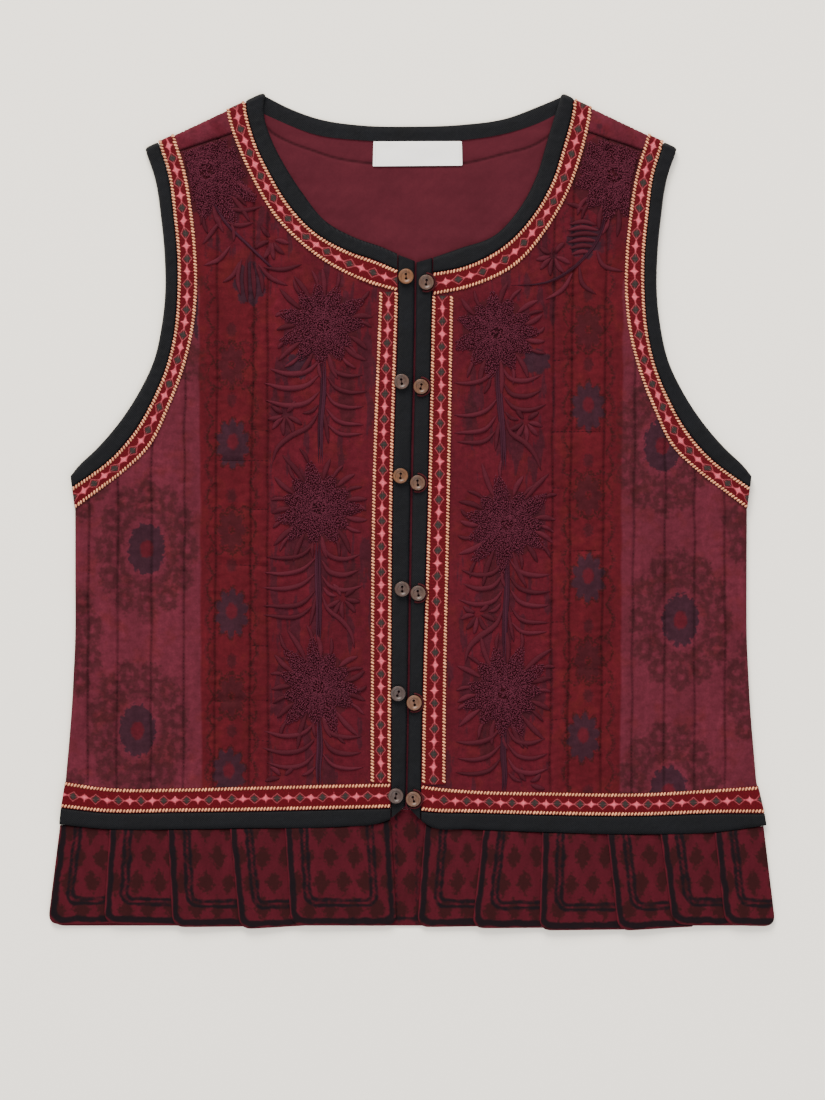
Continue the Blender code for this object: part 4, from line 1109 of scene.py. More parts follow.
def garland_fields(side, x, y):
    blossoms = np.full_like(x, FAR)
    ovals = np.full_like(x, FAR)
    hearts = np.full_like(x, FAR)
    for n, spot in enumerate(GARLANDS[side]):
        cx, cy = from_photo(*spot)
        middle = petal_shape(x - cx, y - cy, GARLAND_OVAL, 14, 0.08)
        ovals = np.minimum(ovals, middle + 1.6 * waves(x, y, 5.0, 71 + n))
        hearts = np.minimum(hearts, oval(x, y, (cx, cy), GARLAND_HEART))
        blossoms = np.minimum(blossoms, np.abs(oval(x, y, (cx, cy), GARLAND_RING)) - 2.6)
        for k in range(BLOSSOMS):
            turn = 2 * math.pi * (k + 0.4 * (n % 2)) / BLOSSOMS
            bx = cx + GARLAND_SIZE[0] * math.cos(turn)
            by = cy + GARLAND_SIZE[1] * math.sin(turn)
            flower = petal_shape(x - bx, y - by, (BLOSSOM * 0.88, BLOSSOM * 1.12), 7, 0.18, turn)
            eye = np.hypot((x - bx) * 1.2, y - by) - 2.8
            blossoms = np.minimum(blossoms, np.maximum(flower, -eye))
    return blossoms, ovals, hearts


def sprig_field(side, x, y):
    """Ornaments up the red stripe between the stars, and a thin dark line traced round them."""
    column, star_y = from_photo(*STARS[side][1])
    rise = (y - (star_y + STAR_STEP / 2) + STAR_STEP / 2) % STAR_STEP - STAR_STEP / 2
    bud = petal_shape(x - column, rise, (10.5, 15.0), 8, 0.36)
    nook = np.maximum(bud, 2.2 - np.hypot(x - column, rise * 0.8))
    buds = np.minimum(nook, np.hypot(x - column, (np.abs(rise) - 25.0) * 0.7) - 3.4)
    lobed = np.abs(x - column) - 12.5 - 5.0 * np.abs(np.sin(y / 7.0))
    steps = np.abs(rise) - 14.0 - 3.5 * np.abs(np.cos((x - column) / 3.0))
    cell = np.maximum(lobed, -steps)
    trace = np.minimum(np.abs(nook - 1.0), np.minimum(np.abs(lobed), np.maximum(np.abs(steps), lobed)))
    broken = np.maximum(np.abs(cell - 1.2) - 0.8, 0.5 - np.abs(np.sin(y / 2.3 + x / 3.1)))
    return np.minimum(buds, broken), trace - 0.7


def patches(table, x, y):
    """Distance to leafy patches."""
    found = np.full_like(x, FAR)
    for px, py, wide, high in table:
        cx, cy = from_photo(px, py)
        size = (wide * MM_PER_PIXEL, high * MM_PER_PIXEL)
        found = np.minimum(found, petal_shape(x - cx, y - cy, size, 7, 0.3, 0.4))
    return found


def front_fields(side, points, stitch):
    """What is printed on a front: the distance to each motif's edge, at each point."""
    x, y = points[:, 0], points[:, 1]
    out = side * x
    stripe = STRIPE_OUT + 0.006 * y + 0.5 * waves(y, y * 0, 40.0, 3)
    worked_edge = WORK_OUT + (2.0 if side == LEFT else 0.0) * ramp(y, -190, 190)
    yoke = ramp(y, 165, 205)
    keep = FAR * yoke
    star, heart = star_fields(side, x, y)
    blossoms, ovals, hearts = garland_fields(side, x, y)
    vine_and_painted_shade, trace = sprig_field(side, x, y)
    plum = stripe - out
    within = np.maximum(0.5 - plum, worked_edge - out + 2.0)
    star = np.where(plum < 0, np.maximum(ovals, plum), np.maximum(star, -plum - 2.0))
    trace = np.maximum(np.minimum(trace, np.abs(star - 0.6) - 0.8), within)
    vine_and_painted_shade = np.maximum(vine_and_painted_shade, within)
    # Painted shade: a dark disc under each head, so the ground between its knots reads dark
    for n, head in enumerate(HEADS[side]):
        cx, cy = from_photo(*head)
        vine_and_painted_shade = np.minimum(vine_and_painted_shade, np.hypot(x - cx, y - cy) - (31.0 if n == 0 else 25.0))
    return {
        "plum": plum + keep,
        "worked": out - worked_edge - 60.0 * yoke,
        "star": np.minimum(star + keep, patches(SLATES[side], x, y)),
        "heart": np.where(plum < 0, hearts, heart) + keep,
        "rosette": np.maximum(blossoms, plum * 0.5 - 1.5) + keep * 0.6,
        # The vine layer also carries the painted shadows beside the stems
        "vine_and_painted_shade": np.minimum(vine_and_painted_shade, patches(PAINTED_SHADOWS[side], x, y)),
        "trace": trace + keep,
        "stitch": stitch,
    }


print("stars and garlands:", [len(STARS[side] + GARLANDS[side]) for side in (RIGHT, LEFT)])

# %% Make the fronts
FRONT_SPACING = 1.45
fronts = {}
for side in (RIGHT, LEFT):
    outline = front_outline(side)
    rings = [inset_line(outline, width) for width in (0.5, 1.2)]
    inner = honeycomb(rings[-1], FRONT_SPACING, FRONT_SPACING * 0.6)
    flat, triangles = flat_mesh(outline, np.vstack(rings + [inner]))
    height, stitch = front_height(side, flat)
    from_seam = distance_to(flat, shoulder_seam(side))
    height += 0.35 * np.exp(-((from_seam - 2.6) / 1.2) ** 2) - 0.5 * np.clip(1 - from_seam, 0, 1)
    stitch = np.minimum(stitch, from_seam * 0.8)
    points, faces, rim = shell_on_outline(flat, triangles, height, FRONT_UNDERSIDE)
    upper = front_fields(side, flat, stitch)
    fields = {name: np.r_[values, values[rim]] for name, values in upper.items()}
    name = SIDE_NAMES[side]
    fronts[side] = mesh_piece(
        f"{name}_front_cloth", points, faces, PRINTED_COTTON, fields,
        [f"front_{name}"], angle=60,
    )

# %% [markdown]
# Trims as swept strips
#
# A bias binding is a folded strip with a rounded outer edge, and a braid is a flat ribbon with
# a thick cord along both sides. Both are one outline carried along the border of the cloth,
# row by row. Rows are 2 mm apart, and each sits a hair higher or lower than the last, as a
# hand-turned binding does.

# %% Strips
Station = namedtuple("Station", "border edge inside outside")
TRIM_CUTS = 16
BINDING_PROFILE = [
    (0.0, 0.0), (0.0, 0.55), (0.02, 0.82), (0.07, 0.94), (0.16, 1.0), (0.34, 1.0), (0.5, 0.985),
    (0.66, 1.0), (0.8, 0.97), (0.9, 0.87), (0.97, 0.7), (1.0, 0.42), (0.985, 0.15), (0.95, 0.0),
    (0.5, 0.0),
]
RIBBON_PROFILE = [
    (0.0, 0.0), (0.02, 0.3), (0.06, 0.42), (0.2, 0.5), (0.35, 0.58), (0.5, 0.62), (0.65, 0.58),
    (0.8, 0.5), (0.94, 0.42), (0.98, 0.3), (1.0, 0.0),
]


def stepped_off(start, towards, gap):
    return start + (towards - start).normalized() * gap


def swept(name, stations, profile, material, node, folded=False, seed=1, lift=0.3,
          stretch=1.0):
    """Sweep a profile along stations, from the border to the edge."""
    middles = [station.border.lerp(station.edge, 0.5) for station in stations]
    reach = np.r_[0, np.cumsum([(b - a).length for a, b in zip(middles, middles[1:])])]
    bumps = lift * (waves(reach, reach * 0, 6.5, seed) + waves(reach, reach * 0, 27.0, seed + 1))
    sways = waves(reach, reach * 0, 10.0, seed + 2) * 0.5
    points, along, across = [], [], []
    for station, run, bump, sway in zip(stations, reach, bumps, sways):
        width = (station.edge - station.border).length
        turned_out = -1 if station.outside < station.inside else 1
        for over, up in profile:
            flat = station.border.lerp(station.edge, over)
            if 0.0 < over < 1.0:
                flat += (station.edge - station.border).normalized() * sway * (1 - abs(2 * over - 1))
            height = station.inside + (station.outside - station.inside) * up
            if 0.1 < over < 0.97 and up > 0.4:
                height += turned_out * bump * math.sin(math.pi * over)
            point = (flat.x, flat.y, height)
            point = fold_over(point) if folded else point
            points.append((point[0], point[1], max(point[2], 0.0)))
            along.append(run * stretch)
            across.append((over - 0.5) * width)
    faces = capped_tube(len(profile), len(stations))
    fields = {"along": along, "across": across}
    made = mesh_piece(name, points, faces, material, fields, [node], angle=60)
    widths = [(station.edge - station.border).length for station in stations]
    return made, float(np.mean(widths)) * MM, float(reach[-1]) * MM


def front_underside(fold, point):
    near = max(0.0, 1.0 - fold.below(point) / FOLD_RAMP)
    return FRONT_UNDERSIDE + (FOLDED_UNDERSIDE - FRONT_UNDERSIDE) * near


def opened_front(fold, row, top):
    border = stepped_off(row.border, row.edge, SEAM_GAP)
    inside_height = opened_height(front_underside(fold, row.border))
    return Station(fold.opened(border), fold.opened(row.edge), inside_height, opened_height(top))


def over_the_fold(fold, row, inside_height, start_outside, end_outside):
    border = fold.on_fold(stepped_off(row.border, row.edge, SEAM_GAP))
    edge = fold.on_fold(row.edge)
    stations = []
    for step in range(1, FOLD_STEPS + 1):
        share = step / FOLD_STEPS
        shift = fold.out * (FOLD_ARC * (1 - share))
        outside = start_outside + (end_outside - start_outside) * share
        stations.append(Station(border + shift, edge + shift, inside_height, outside))
    return stations


print("stations round a shoulder fold:", FOLD_STEPS)

# %% Bindings
# A binding shows its flat face and its turned edge, so its cut is that much wider
TURNED = 0.003
soft_pieces = []


def sewn(made, flat, rests_on, area=None, with_pieces=()):
    """Remember a cloth piece, with its cut size in metres, to print at the end."""
    soft_pieces.append((made, flat, rests_on, area, list(with_pieces)))


def armhole_binding(side):
    fold = FOLDS[side]
    rows = below_fold(side, side_rows(side, ARMHOLE, TRIM_CUTS))
    front = [opened_front(fold, row, BINDING_TOP) for row in reversed(rows)]
    bend = over_the_fold(fold, rows[0], BACK_WALL, opened_height(BINDING_TOP), 0.0)
    back = []
    for row in rows[1:]:
        border = stepped_off(row.border, row.edge, SEAM_GAP)
        edge = stepped_off(row.edge, row.border, 2 * SEAM_GAP)
        back.append(Station(border, edge, BACK_WALL, 0.0))
    node = f"{SIDE_NAMES[side]}_armhole_binding"
    made, width, length = swept(
        f"{node}_cloth", front + bend + back, BINDING_PROFILE, SATEEN, node,
        folded=True, seed=40 + side,
    )
    sewn(made, (width + TURNED, length), ["back_cloth", f"{SIDE_NAMES[side]}_front_cloth"])


def neck_binding():
    halves = {}
    for side in (RIGHT, LEFT):
        fold = FOLDS[side]
        rows = below_fold(side, side_rows(side, NECK[side], TRIM_CUTS))
        front = [opened_front(fold, row, BINDING_TOP) for row in reversed(rows)]
        halves[side] = front + over_the_fold(fold, rows[0], BACK_WALL, opened_height(BINDING_TOP), 0.0)
    ends = {}
    for side in (RIGHT, LEFT):
        row = placed(side, NECK[side][0])
        ends[side] = BackNeck(FOLDS[side].on_fold(row.edge), FOLDS[side].on_fold(row.border))
    rows = [ends[RIGHT]] + BACK_NECK + [ends[LEFT]]
    columns = [smooth_line(column, TRIM_CUTS) for column in zip(*rows)]
    back = []
    for edge, border in list(zip(*columns))[1:-1]:
        border = stepped_off(border, edge, -SEAM_GAP)
        away = min(-FOLDS[RIGHT].below(edge), -FOLDS[LEFT].below(edge), key=abs)
        rise = min(1.0, max(0.0, (abs(away) - FOLD_RAMP / 2) / FOLD_RAMP))
        inside_height = BACK_WALL + (BACK_NECK_BINDING_TOP - BACK_WALL) * rise
        back.append(Station(border, edge, inside_height, 0.0))
    stations = halves[RIGHT] + back + halves[LEFT][::-1]
    made, width, length = swept(
        "neck_binding_cloth", stations, BINDING_PROFILE, SATEEN, "neck_binding",
        folded=True, seed=50,
    )
    sewn(made, (width + TURNED, length), ["back_cloth"])


def flat_binding(node, rows, low, top, seed):
    stations = []
    for row in rows:
        border = stepped_off(row.border, row.edge, SEAM_GAP)
        stations.append(Station(border, row.edge, low, top))
    made, width, length = swept(
        f"{node}_cloth", stations, BINDING_PROFILE, SATEEN, node, seed=seed,
    )
    sewn(made, (width + TURNED, length), ["back_cloth"])


def hem_line(cuts):
    """The hem of the whole vest, from the wearer's right side seam to the left."""
    right = side_rows(RIGHT, HEM[RIGHT], cuts)
    return right[::-1] + side_rows(LEFT, HEM[LEFT], cuts)


neck_binding()
for side in (RIGHT, LEFT):
    name = SIDE_NAMES[side]
    armhole_binding(side)
    edge_rows = side_rows(side, FRONT_EDGE[side], 24)
    flat_binding(f"{name}_front_edge_binding", edge_rows, FRONT_UNDERSIDE, BINDING_TOP, 60 + side)
    hem_rows = side_rows(side, HEM[side], TRIM_CUTS)
    flat_binding(f"{name}_hem_binding", hem_rows, FRONT_UNDERSIDE, BINDING_TOP, 70 + side)
hem_rows = [row._replace(edge=stepped_off(row.edge, row.border, 2 * SEAM_GAP)) for row in hem_line(8)]
flat_binding("back_hem_binding", hem_rows, 0.0, BACK_HEM_BINDING_TOP, 80)

# %% [markdown]
# Braid and its cords
#
# The ribbon is a strip with the pattern's material. Its cream cords are twisted from two plies,
# and seen from above a twist is a row of slanted beads, so each cord is a row of capsules 2.35 mm
# apart, turned 56 degrees to the run. The pitch is the photo's.

# %% Braids
CORD_PITCH = 2.35
CORD_BEAD = 2.9
CORD_WIDTH = 1.55
CORD_SLANT = math.radians(56)
CORD_PLACES = (0.075, 0.925)
# Height of the ribbon's crown above its underside
RIBBON_CROWN = 0.62


def cord_beads(line, ups, draw):
    """Slanted beads along a line of points in space, as set_down takes them."""
    run = line_run(line)
    marks = np.arange(CORD_PITCH / 2, run[-1], CORD_PITCH)
    marks = marks + draw.uniform(-0.15, 0.15, len(marks))
    along = at_marks(line, run, marks + 0.5) - at_marks(line, run, marks - 0.5)
    along /= np.linalg.norm(along, axis=1)[:, None]
    up = at_marks(ups, run, marks)
    angle = CORD_SLANT + draw.uniform(-0.1, 0.1, len(marks))
    turned = along * np.cos(angle)[:, None] + np.cross(up, along) * np.sin(angle)[:, None]
    sizes = draw.uniform(0.9, 1.08, len(marks))
    centres = at_marks(line, run, marks)
    return centres, turned, CORD_BEAD * sizes, CORD_WIDTH * sizes, CORD_WIDTH * 0.95 * sizes, up


def braid_cords(name, stations, folded, seed):
    draw = np.random.default_rng(seed)
    sets = []
    for place in CORD_PLACES:
        line, ups = [], []
        for station in stations:
            flat = station.border.lerp(station.edge, place)
            side_up = -1 if station.outside < station.inside else 1
            low = (flat.x, flat.y, station.inside + side_up * (RIBBON_CROWN - 0.1))
            high = (flat.x, flat.y, station.inside + side_up * (RIBBON_CROWN + 0.9))
            if folded:
                low, high = fold_over(low), fold_over(high)
            line.append(tuple(low))
            ups.append(tuple(Vector(high) - Vector(low)))
        sets.append(cord_beads(np.array(line), np.array(ups), draw))
    beads = set_down(*[np.concatenate(group) for group in zip(*sets)])
    return thread_piece(name, beads, CREAM_CORD, draw)


def braid_station(row):
    border = stepped_off(row.border, row.inner, SEAM_GAP)
    low = FLAT_TOP + SEAM_GAP
    return Station(border, row.inner, low, BRAID_TOP)


def braid(node, stations, folded, seed, stretch=1.0):
    made, width, length = swept(
        f"{node}_ribbon", stations, RIBBON_PROFILE, JACQUARD, node,
        folded=folded, seed=seed, lift=0.1, stretch=stretch,
    )
    cords = braid_cords(f"{node}_cords", stations, folded, seed)
    rests_on = [f"{node.split('_')[0]}_front_cloth"]
    sewn(made, (width, length), rests_on, with_pieces=[cords])


def shoulder_stations(side, rows):
    """A braid that runs up the front and ends at the turn of the shoulder fold."""
    fold = FOLDS[side]
    rows = below_fold(side, rows)
    low = opened_height(FLAT_TOP + SEAM_GAP)
    high = opened_height(BRAID_TOP)
    stations = []
    for row in reversed(rows):
        flat = braid_station(row)
        stations.append(Station(fold.opened(flat.border), fold.opened(flat.edge), low, high))
    top = braid_station(rows[0])
    for step in range(1, FOLD_STEPS // 2 + 1):
        shift = fold.out * (FOLD_ARC * (1 - step / FOLD_STEPS))
        border, edge = fold.on_fold(top.border) + shift, fold.on_fold(top.edge) + shift
        stations.append(Station(border, edge, low, high))
    return stations


def level_with(row, y):
    return type(row)(*[Vector((point.x, y)) for point in row])


for side in (RIGHT, LEFT):
    name = SIDE_NAMES[side]
    for part, table, seed in (("neck", NECK[side], 90), ("armhole", ARMHOLE, 100)):
        stations = shoulder_stations(side, side_rows(side, table, TRIM_CUTS))
        braid(f"{name}_{part}_braid", stations, True, seed + side)
    top = NECK[side][-1].inner[1] - 2 * SEAM_GAP
    bottom = HEM[side][0].inner[1] + 2 * SEAM_GAP
    rows = [row for row in side_rows(side, FRONT_EDGE[side][2:-1], 40) if bottom < row.border.y < top]
    rows = [level_with(rows[0], top)] + rows + [level_with(rows[-1], bottom)]
    braid(f"{name}_front_braid", [braid_station(row) for row in rows], False, 110 + side)
    rows = side_rows(side, HEM[side], TRIM_CUTS)
    stations = [braid_station(row) for row in rows]
    braid(f"{name}_hem_braid", stations, False, 120 + side, stretch=BRAID_REPEAT / HEM_BRAID_REPEAT)

# %% [markdown]
# The back and its shoulders
#
# The back is one piece of the same print, with its shoulders carried over the top to a seam on
# the front. Laid flat, it rests on the floor with its right side down. Both faces are made: the
# print below and on the folded shoulders, and the plain lining inside, which shows in the neck.

# %% Back
BACK_FINE = 1.7
BACK_COARSE = 5.0
BACK_FINE_ABOVE = 190.0
BACK_ROW = 23.0
FACING_SEAM = [(262, 122), (271, 131.6), (290.5, 142.5), (314, 151), (332, 157), (372, 163.6),
               (420, 166), (466, 163), (502, 154.4), (535, 144.6), (556, 131)]


def back_outline():
    """The back's cloth edge with both shoulders opened out."""
    parts = {}
    for side in (RIGHT, LEFT):
        fold = FOLDS[side]
        armhole = [row.border for row in below_fold(side, side_rows(side, ARMHOLE, 6))]
        neck = [row.border for row in below_fold(side, side_rows(side, NECK[side], 6))]
        armhole_yoke, armhole_cut, _ = split_at_depth(fold, armhole, SEAM_AT_ARMHOLE - SEAM_GAP / 2)
        neck_yoke, neck_cut, _ = split_at_depth(fold, neck, SEAM_AT_NECK - SEAM_GAP / 2)
        seam = [Vector((side * out, up)) for out, up in reversed(SIDE_SEAM)]
        over = [fold.opened(point) for point in armhole_yoke + [armhole_cut]]
        down = [fold.opened(point) for point in [neck_cut] + neck_yoke[::-1]]
        parts[side] = seam + armhole[::-1] + over + down
    ends = {}
    for side in (RIGHT, LEFT):
        row = placed(side, NECK[side][0])
        ends[side] = FOLDS[side].on_fold(row.border)
    neck = smooth_line([ends[RIGHT]] + [row.border for row in BACK_NECK] + [ends[LEFT]], 4)
    hem = [row.border for row in hem_line(2)]
    return closed_outline(hem + parts[LEFT] + neck[::-1][1:-1] + parts[RIGHT][::-1], 2.6)


def back_cloth():
    outline = back_outline()
    fine = honeycomb(outline, BACK_FINE, 1.0)
    coarse = honeycomb(outline, BACK_COARSE, 3.0)
    inner = np.vstack([fine[fine[:, 1] > BACK_FINE_ABOVE], coarse[coarse[:, 1] <= BACK_FINE_ABOVE - 3]])
    flat, triangles = flat_mesh(outline, inner)
    x, y = flat[:, 0], flat[:, 1]
    beyond = np.array([-FOLDS[LEFT if px > 0 else RIGHT].below((px, py)) for px, py in flat])
    yoke = ramp(beyond, FOLD_ARC + 0.5, FOLD_ARC + 4.0) * (beyond > 0)
    rim = distance_to(flat, outline, closed=True)
    puff = 0.45 * np.sin(math.pi * np.clip(rim / 16.0, 0, 1)) * ramp(rim, 0.5, 4.0)
    outer = -yoke * (puff + 0.3 * waves(x, y, 12.0, 7)) + yoke * 0.9 * np.exp(-(rim / 1.2) ** 2)
    facing = np.array([from_photo(*pixel) for pixel in FACING_SEAM])
    facing = np.array([tuple(point) for point in smooth_line(facing.tolist(), 6)])
    seam = distance_to(flat, facing)
    rest = ramp(-beyond, 0.0, 6.0)
    rumple = 0.34 * waves(x, y, 24.0, 13, (1.8, 0.7)) + 0.2 * waves(x, y, 9.0, 17)
    inner_face = BACK_WALL + rest * (rumple * ramp(rim, 0.0, 6.0) - 0.55 * np.exp(-(seam / 1.1) ** 2))
    points, faces = shell(flat, triangles, outer, inner_face)
    points = np.array([tuple(fold_over(point)) for point in points])
    upright = np.abs((x + BACK_ROW / 2) % BACK_ROW - BACK_ROW / 2)
    right, left = [front_fields(side, flat, upright) for side in (RIGHT, LEFT)]
    fields = {name: np.where(x > 0, left[name], right[name]) for name in left if name != "stitch"}
    fields["worked"] = np.where(beyond > 0, 2.0 + 9.0 * waves(x, y, 16.0, 61), FAR)
    fields["vine_and_painted_shade"] = np.where(beyond > 0, FAR, fields["vine_and_painted_shade"])
    fields["plum"] = np.where(beyond > 0, -4.0, fields["plum"])
    fields = {name: np.r_[values, values] for name, values in fields.items()}
    fields["stitch"] = np.r_[seam, np.where(beyond > 0, rim * 0.8, upright * 2.0)]
    made = mesh_piece(
        "back_cloth", points, faces, PRINTED_COTTON, fields, ["back"], angle=70,
    )
    made.data.materials.append(LINING)
    for face in made.data.polygons[:len(triangles)]:
        face.material_index = 1
    area = sum(face.area for face in made.data.polygons) / 2
    low, high = outline.min(0), outline.max(0)
    sewn(made, tuple((high - low) * MM), ["floor"], area)


back_cloth()

# %% [markdown]
# The printed ikat of the peplum
#
# The peplum's cotton is a darker burgundy with blurred brown diamonds, like a tied warp whose
# dye has run, and dark lines printed round each tab. Both are distances on the points again,
# with a wider soft edge, so the diamonds look dyed and the lines look drawn.

# %% Peplum cotton


def ikat_cotton():
    made, tree, shader, place = new_material("ikat_printed_cotton", Roughness=0.88, **COTTON)
    fine = blotches(tree, place, 1.5, 4.0)
    streak = blotches(tree, place, 11.0, 3.0, (0.7, 2.0, 1.0))
    ground = tinted(tree, linear("#3b0c15"), streak, 0.82, 1.2)
    bled = stains(tree, place, 2.4, 4.0, (-2.0, 1.6))
    ground = printed(tree, ground, "diamond", "#200b0b", 1.0, 0.82, bled)
    bled = stains(tree, place, 5.0, 3.0, (-0.5, 0.5))
    ground = printed(tree, ground, "line", "#0d090d", 0.6, 0.95, bled)
    ground = printed(tree, ground, "piping", "#4c111c", 0.5, 0.7)
    ground = tinted(tree, ground, fine, 0.9, 1.1)
    slub = add(tree, "Math", {0: plain_weave(tree, place, THREAD_SPACING), 1: fine}, operation="ADD")
    finished(tree, shader, ground, slub, 0.13, 0.5)
    return made


IKAT = ikat_cotton()

# %% [markdown]
# The peplum
#
# Eleven tabs, each lying on its neighbour's edge, with one back strip beneath them. A tab is
# lined and turned, so its edge is a soft roll, and it rises where it crosses its neighbour. The
# table gives each near side at the hem and at the foot.

# %% Tabs and back strip
TAB_WALL = 1.1
TAB_LOW = 2.5
TAB_HIGH = 3.9
TAB_OVERLAP = 15.0
TAB_CORNER = 9.0
TAB_BEND = 1.5
# The step from diamond to diamond across and up, and half the width and height of one
DIAMOND_STEP = (16.4, 38.0)
DIAMOND_HALF = (5.8, 8.8)
# The lines printed on a tab: how far in from its side and its foot, and the corner's radius
BOLD_LINE = (2.7, 3.4, 7.0)
INNER_LINE = (13.5, 16.5, 6.5)
# The same from the far side, which shows on one tab only
FAR_BOLD_LINE = (3.0, 3.4, 7.0)
FAR_INNER_LINE = (15.0, 16.5, 6.5)
RUFFLE_WALL = 1.6
RUFFLE_HEM = -297.0
RUFFLE_SIDE_INSET = 3.0
ALLOWANCE_LOW = 1.7
ALLOWANCE_HIGH = 2.2
ALLOWANCE_BELOW_BINDING = 0.4
ALLOWANCE_RAMP = 2.0
Tab = namedtuple("Tab", "top foot low_near low_far")
TAB_RUNS = [
    [
        Tab(-252.4, -261.3, -296.0, -295.0), Tab(-216.7, -221.0, -294.8, -297.4),
        Tab(-175.0, -171.4, -297.8, -297.4), Tab(-130.3, -123.1, -299.4, -296.6),
        Tab(-90.7, -86.4, -296.6, -297.0), Tab(-14.6, -10.2, None, None),
    ],
    [
        Tab(10.1, 4.3, -298.0, -297.2), Tab(51.8, 43.9, -298.6, -298.4),
        Tab(94.3, 92.2, -300.2, -299.6), Tab(141.1, 149.0, -300.6, -297.6),
        Tab(179.3, 187.9, -295.8, -296.8), Tab(218.2, 226.0, -296.4, -297.4),
        Tab(253.6, 262.3, None, None),
    ],
]
HEM_EDGE = [row.edge for row in hem_line(1)]


def hem_height(x):
    """Height of the binding's lower edge at a place along the hem."""
    return float(np.interp(x, [p.x for p in HEM_EDGE], [p.y for p in HEM_EDGE]))


def rounded_corner(corner, before, after, radius, steps=8):
    start = corner + (before - corner).normalized() * radius
    end = corner + (after - corner).normalized() * radius
    points = []
    for step in range(steps + 1):
        share = step / steps
        points.append(start.lerp(corner, share).lerp(corner.lerp(end, share), share))
    return points


def corner_line(u, v, at_u, at_v, radius):
    """Distance to a line that runs down, round a corner and along."""
    over = np.maximum(radius + at_u - u, 0.0)
    under = np.maximum(radius + at_v - v, 0.0)
    return np.abs(np.hypot(over, under) + np.minimum(np.maximum(at_u - u, at_v - v) + radius, 0.0) - radius)


def diamonds(x, y, seed):
    """Distance to rows of diamonds, every other row moved half a step."""
    x = x + 1.5 * waves(x, y, 45.0, seed)
    y = y + 1.5 * waves(x, y, 45.0, seed + 1)
    found = np.full_like(x, FAR)
    for shift in (0.0, 0.5):
        over, up = [
            np.abs((place - shift * step + step / 2) % step - step / 2) / half
            for place, step, half in zip((x, y), DIAMOND_STEP, DIAMOND_HALF)
        ]
        found = np.minimum(found, (over + up - 1.0) * 4.6)
    return found


def peplum_fields(u, v, far, x, y, seed):
    wander = 0.5 * waves(x, y, 15.0, seed + 3)
    u, v = u + wander, v + wander
    bold = corner_line(u, v, *BOLD_LINE) - 2.3
    inner = np.abs(corner_line(u, v, *INNER_LINE) - 1.9) - 1.2
    if far is not None:
        bold = np.minimum(bold, corner_line(far, v, *FAR_BOLD_LINE) - 1.9)
        far_inner = np.abs(corner_line(far, v, *FAR_INNER_LINE) - 1.9) - 1.05
        inner = np.where(u < far, inner, far_inner)
    return {
        "line": np.minimum(bold, inner), "diamond": diamonds(x, y, seed),
        "piping": np.minimum(u, v) - 0.9,
    }


def tab(side, number, row, following, first, last):
    over = 0.0 if last else TAB_OVERLAP
    top_near = Vector((row.top, hem_height(row.top) - SEAM_GAP))
    far_x = following.top + over
    top_far = Vector((far_x, hem_height(far_x) - SEAM_GAP))
    foot_near = Vector((row.foot, row.low_near))
    foot_far = Vector((following.foot + over, row.low_far))
    outline = [top_near] + rounded_corner(foot_near, top_near, foot_far, TAB_CORNER)
    if last:
        outline += rounded_corner(foot_far, foot_near, top_far, TAB_CORNER)
    else:
        outline.append(foot_far)
    outline.append(top_far)
    for edge in reversed(HEM_EDGE):
        if row.top + 1.0 < edge.x < far_x - 1.0:
            outline.append(edge - Vector((0.0, SEAM_GAP)))
    outline = closed_outline(outline, 1.5)
    rings = [inset_line(outline, width) for width in (0.35, 0.9)]
    inner = honeycomb(rings[-1], 1.8, 1.1)
    flat, triangles = flat_mesh(outline, np.vstack(rings + [inner]))
    x, y = flat[:, 0], flat[:, 1]
    height = top_near.y - row.low_near
    down = (top_near.y - y) / height
    near = row.top + (row.foot - row.top) * down
    far = following.top + (following.foot - following.top) * down
    foot = row.low_near + (row.low_far - row.low_near) * (x - foot_near.x) / (foot_far.x - foot_near.x)
    share = np.ones_like(x)
    if not first:
        bend = TAB_BEND if not last else 0.0
        start = near + TAB_OVERLAP + TAB_BEND
        share = np.clip((x - start) / (far - bend - start), 0, 1)
    low = TAB_HIGH + (TAB_LOW - TAB_HIGH) * share
    rim = distance_to(flat, outline, closed=True)
    from_hem = np.abs(y - np.interp(x, [p.x for p in HEM_EDGE], [p.y for p in HEM_EDGE]))
    roll = np.clip(1 - rim / 1.1, 0, 1) ** 2
    soft = 0.16 * waves(x, y, 26.0, 200 + number, (0.8, 1.8)) + 0.1 * waves(x, y, 9.0, 300 + number)
    high = low + TAB_WALL - 0.65 * roll + 0.22 * np.exp(-((rim - 1.6) / 0.9) ** 2)
    high += (soft - 0.18 * np.exp(-((rim - 3.4) / 0.8) ** 2)) * ramp(rim, 0.5, 3.0)
    high -= 0.2 * np.exp(-(from_hem / 5.0) ** 2)
    points, faces = shell(flat, triangles, low + 0.25 * roll, high)
    far_side = far - x if (side, number) == (RIGHT, 5) else None
    fields = peplum_fields(x - near, y - foot, far_side, x, y, 90)
    fields = {name: np.r_[values, values] for name, values in fields.items()}
    node = f"{SIDE_NAMES[side]}_tab_{number}"
    made = mesh_piece(f"{node}_cloth", points, faces, IKAT, fields, [node], angle=50)
    area = float(sum(face.area for face in made.data.polygons[:len(triangles)]))
    size = outline.max(0) - outline.min(0)
    sewn(made, tuple(size * MM), ["back_ruffle_cloth"], area)


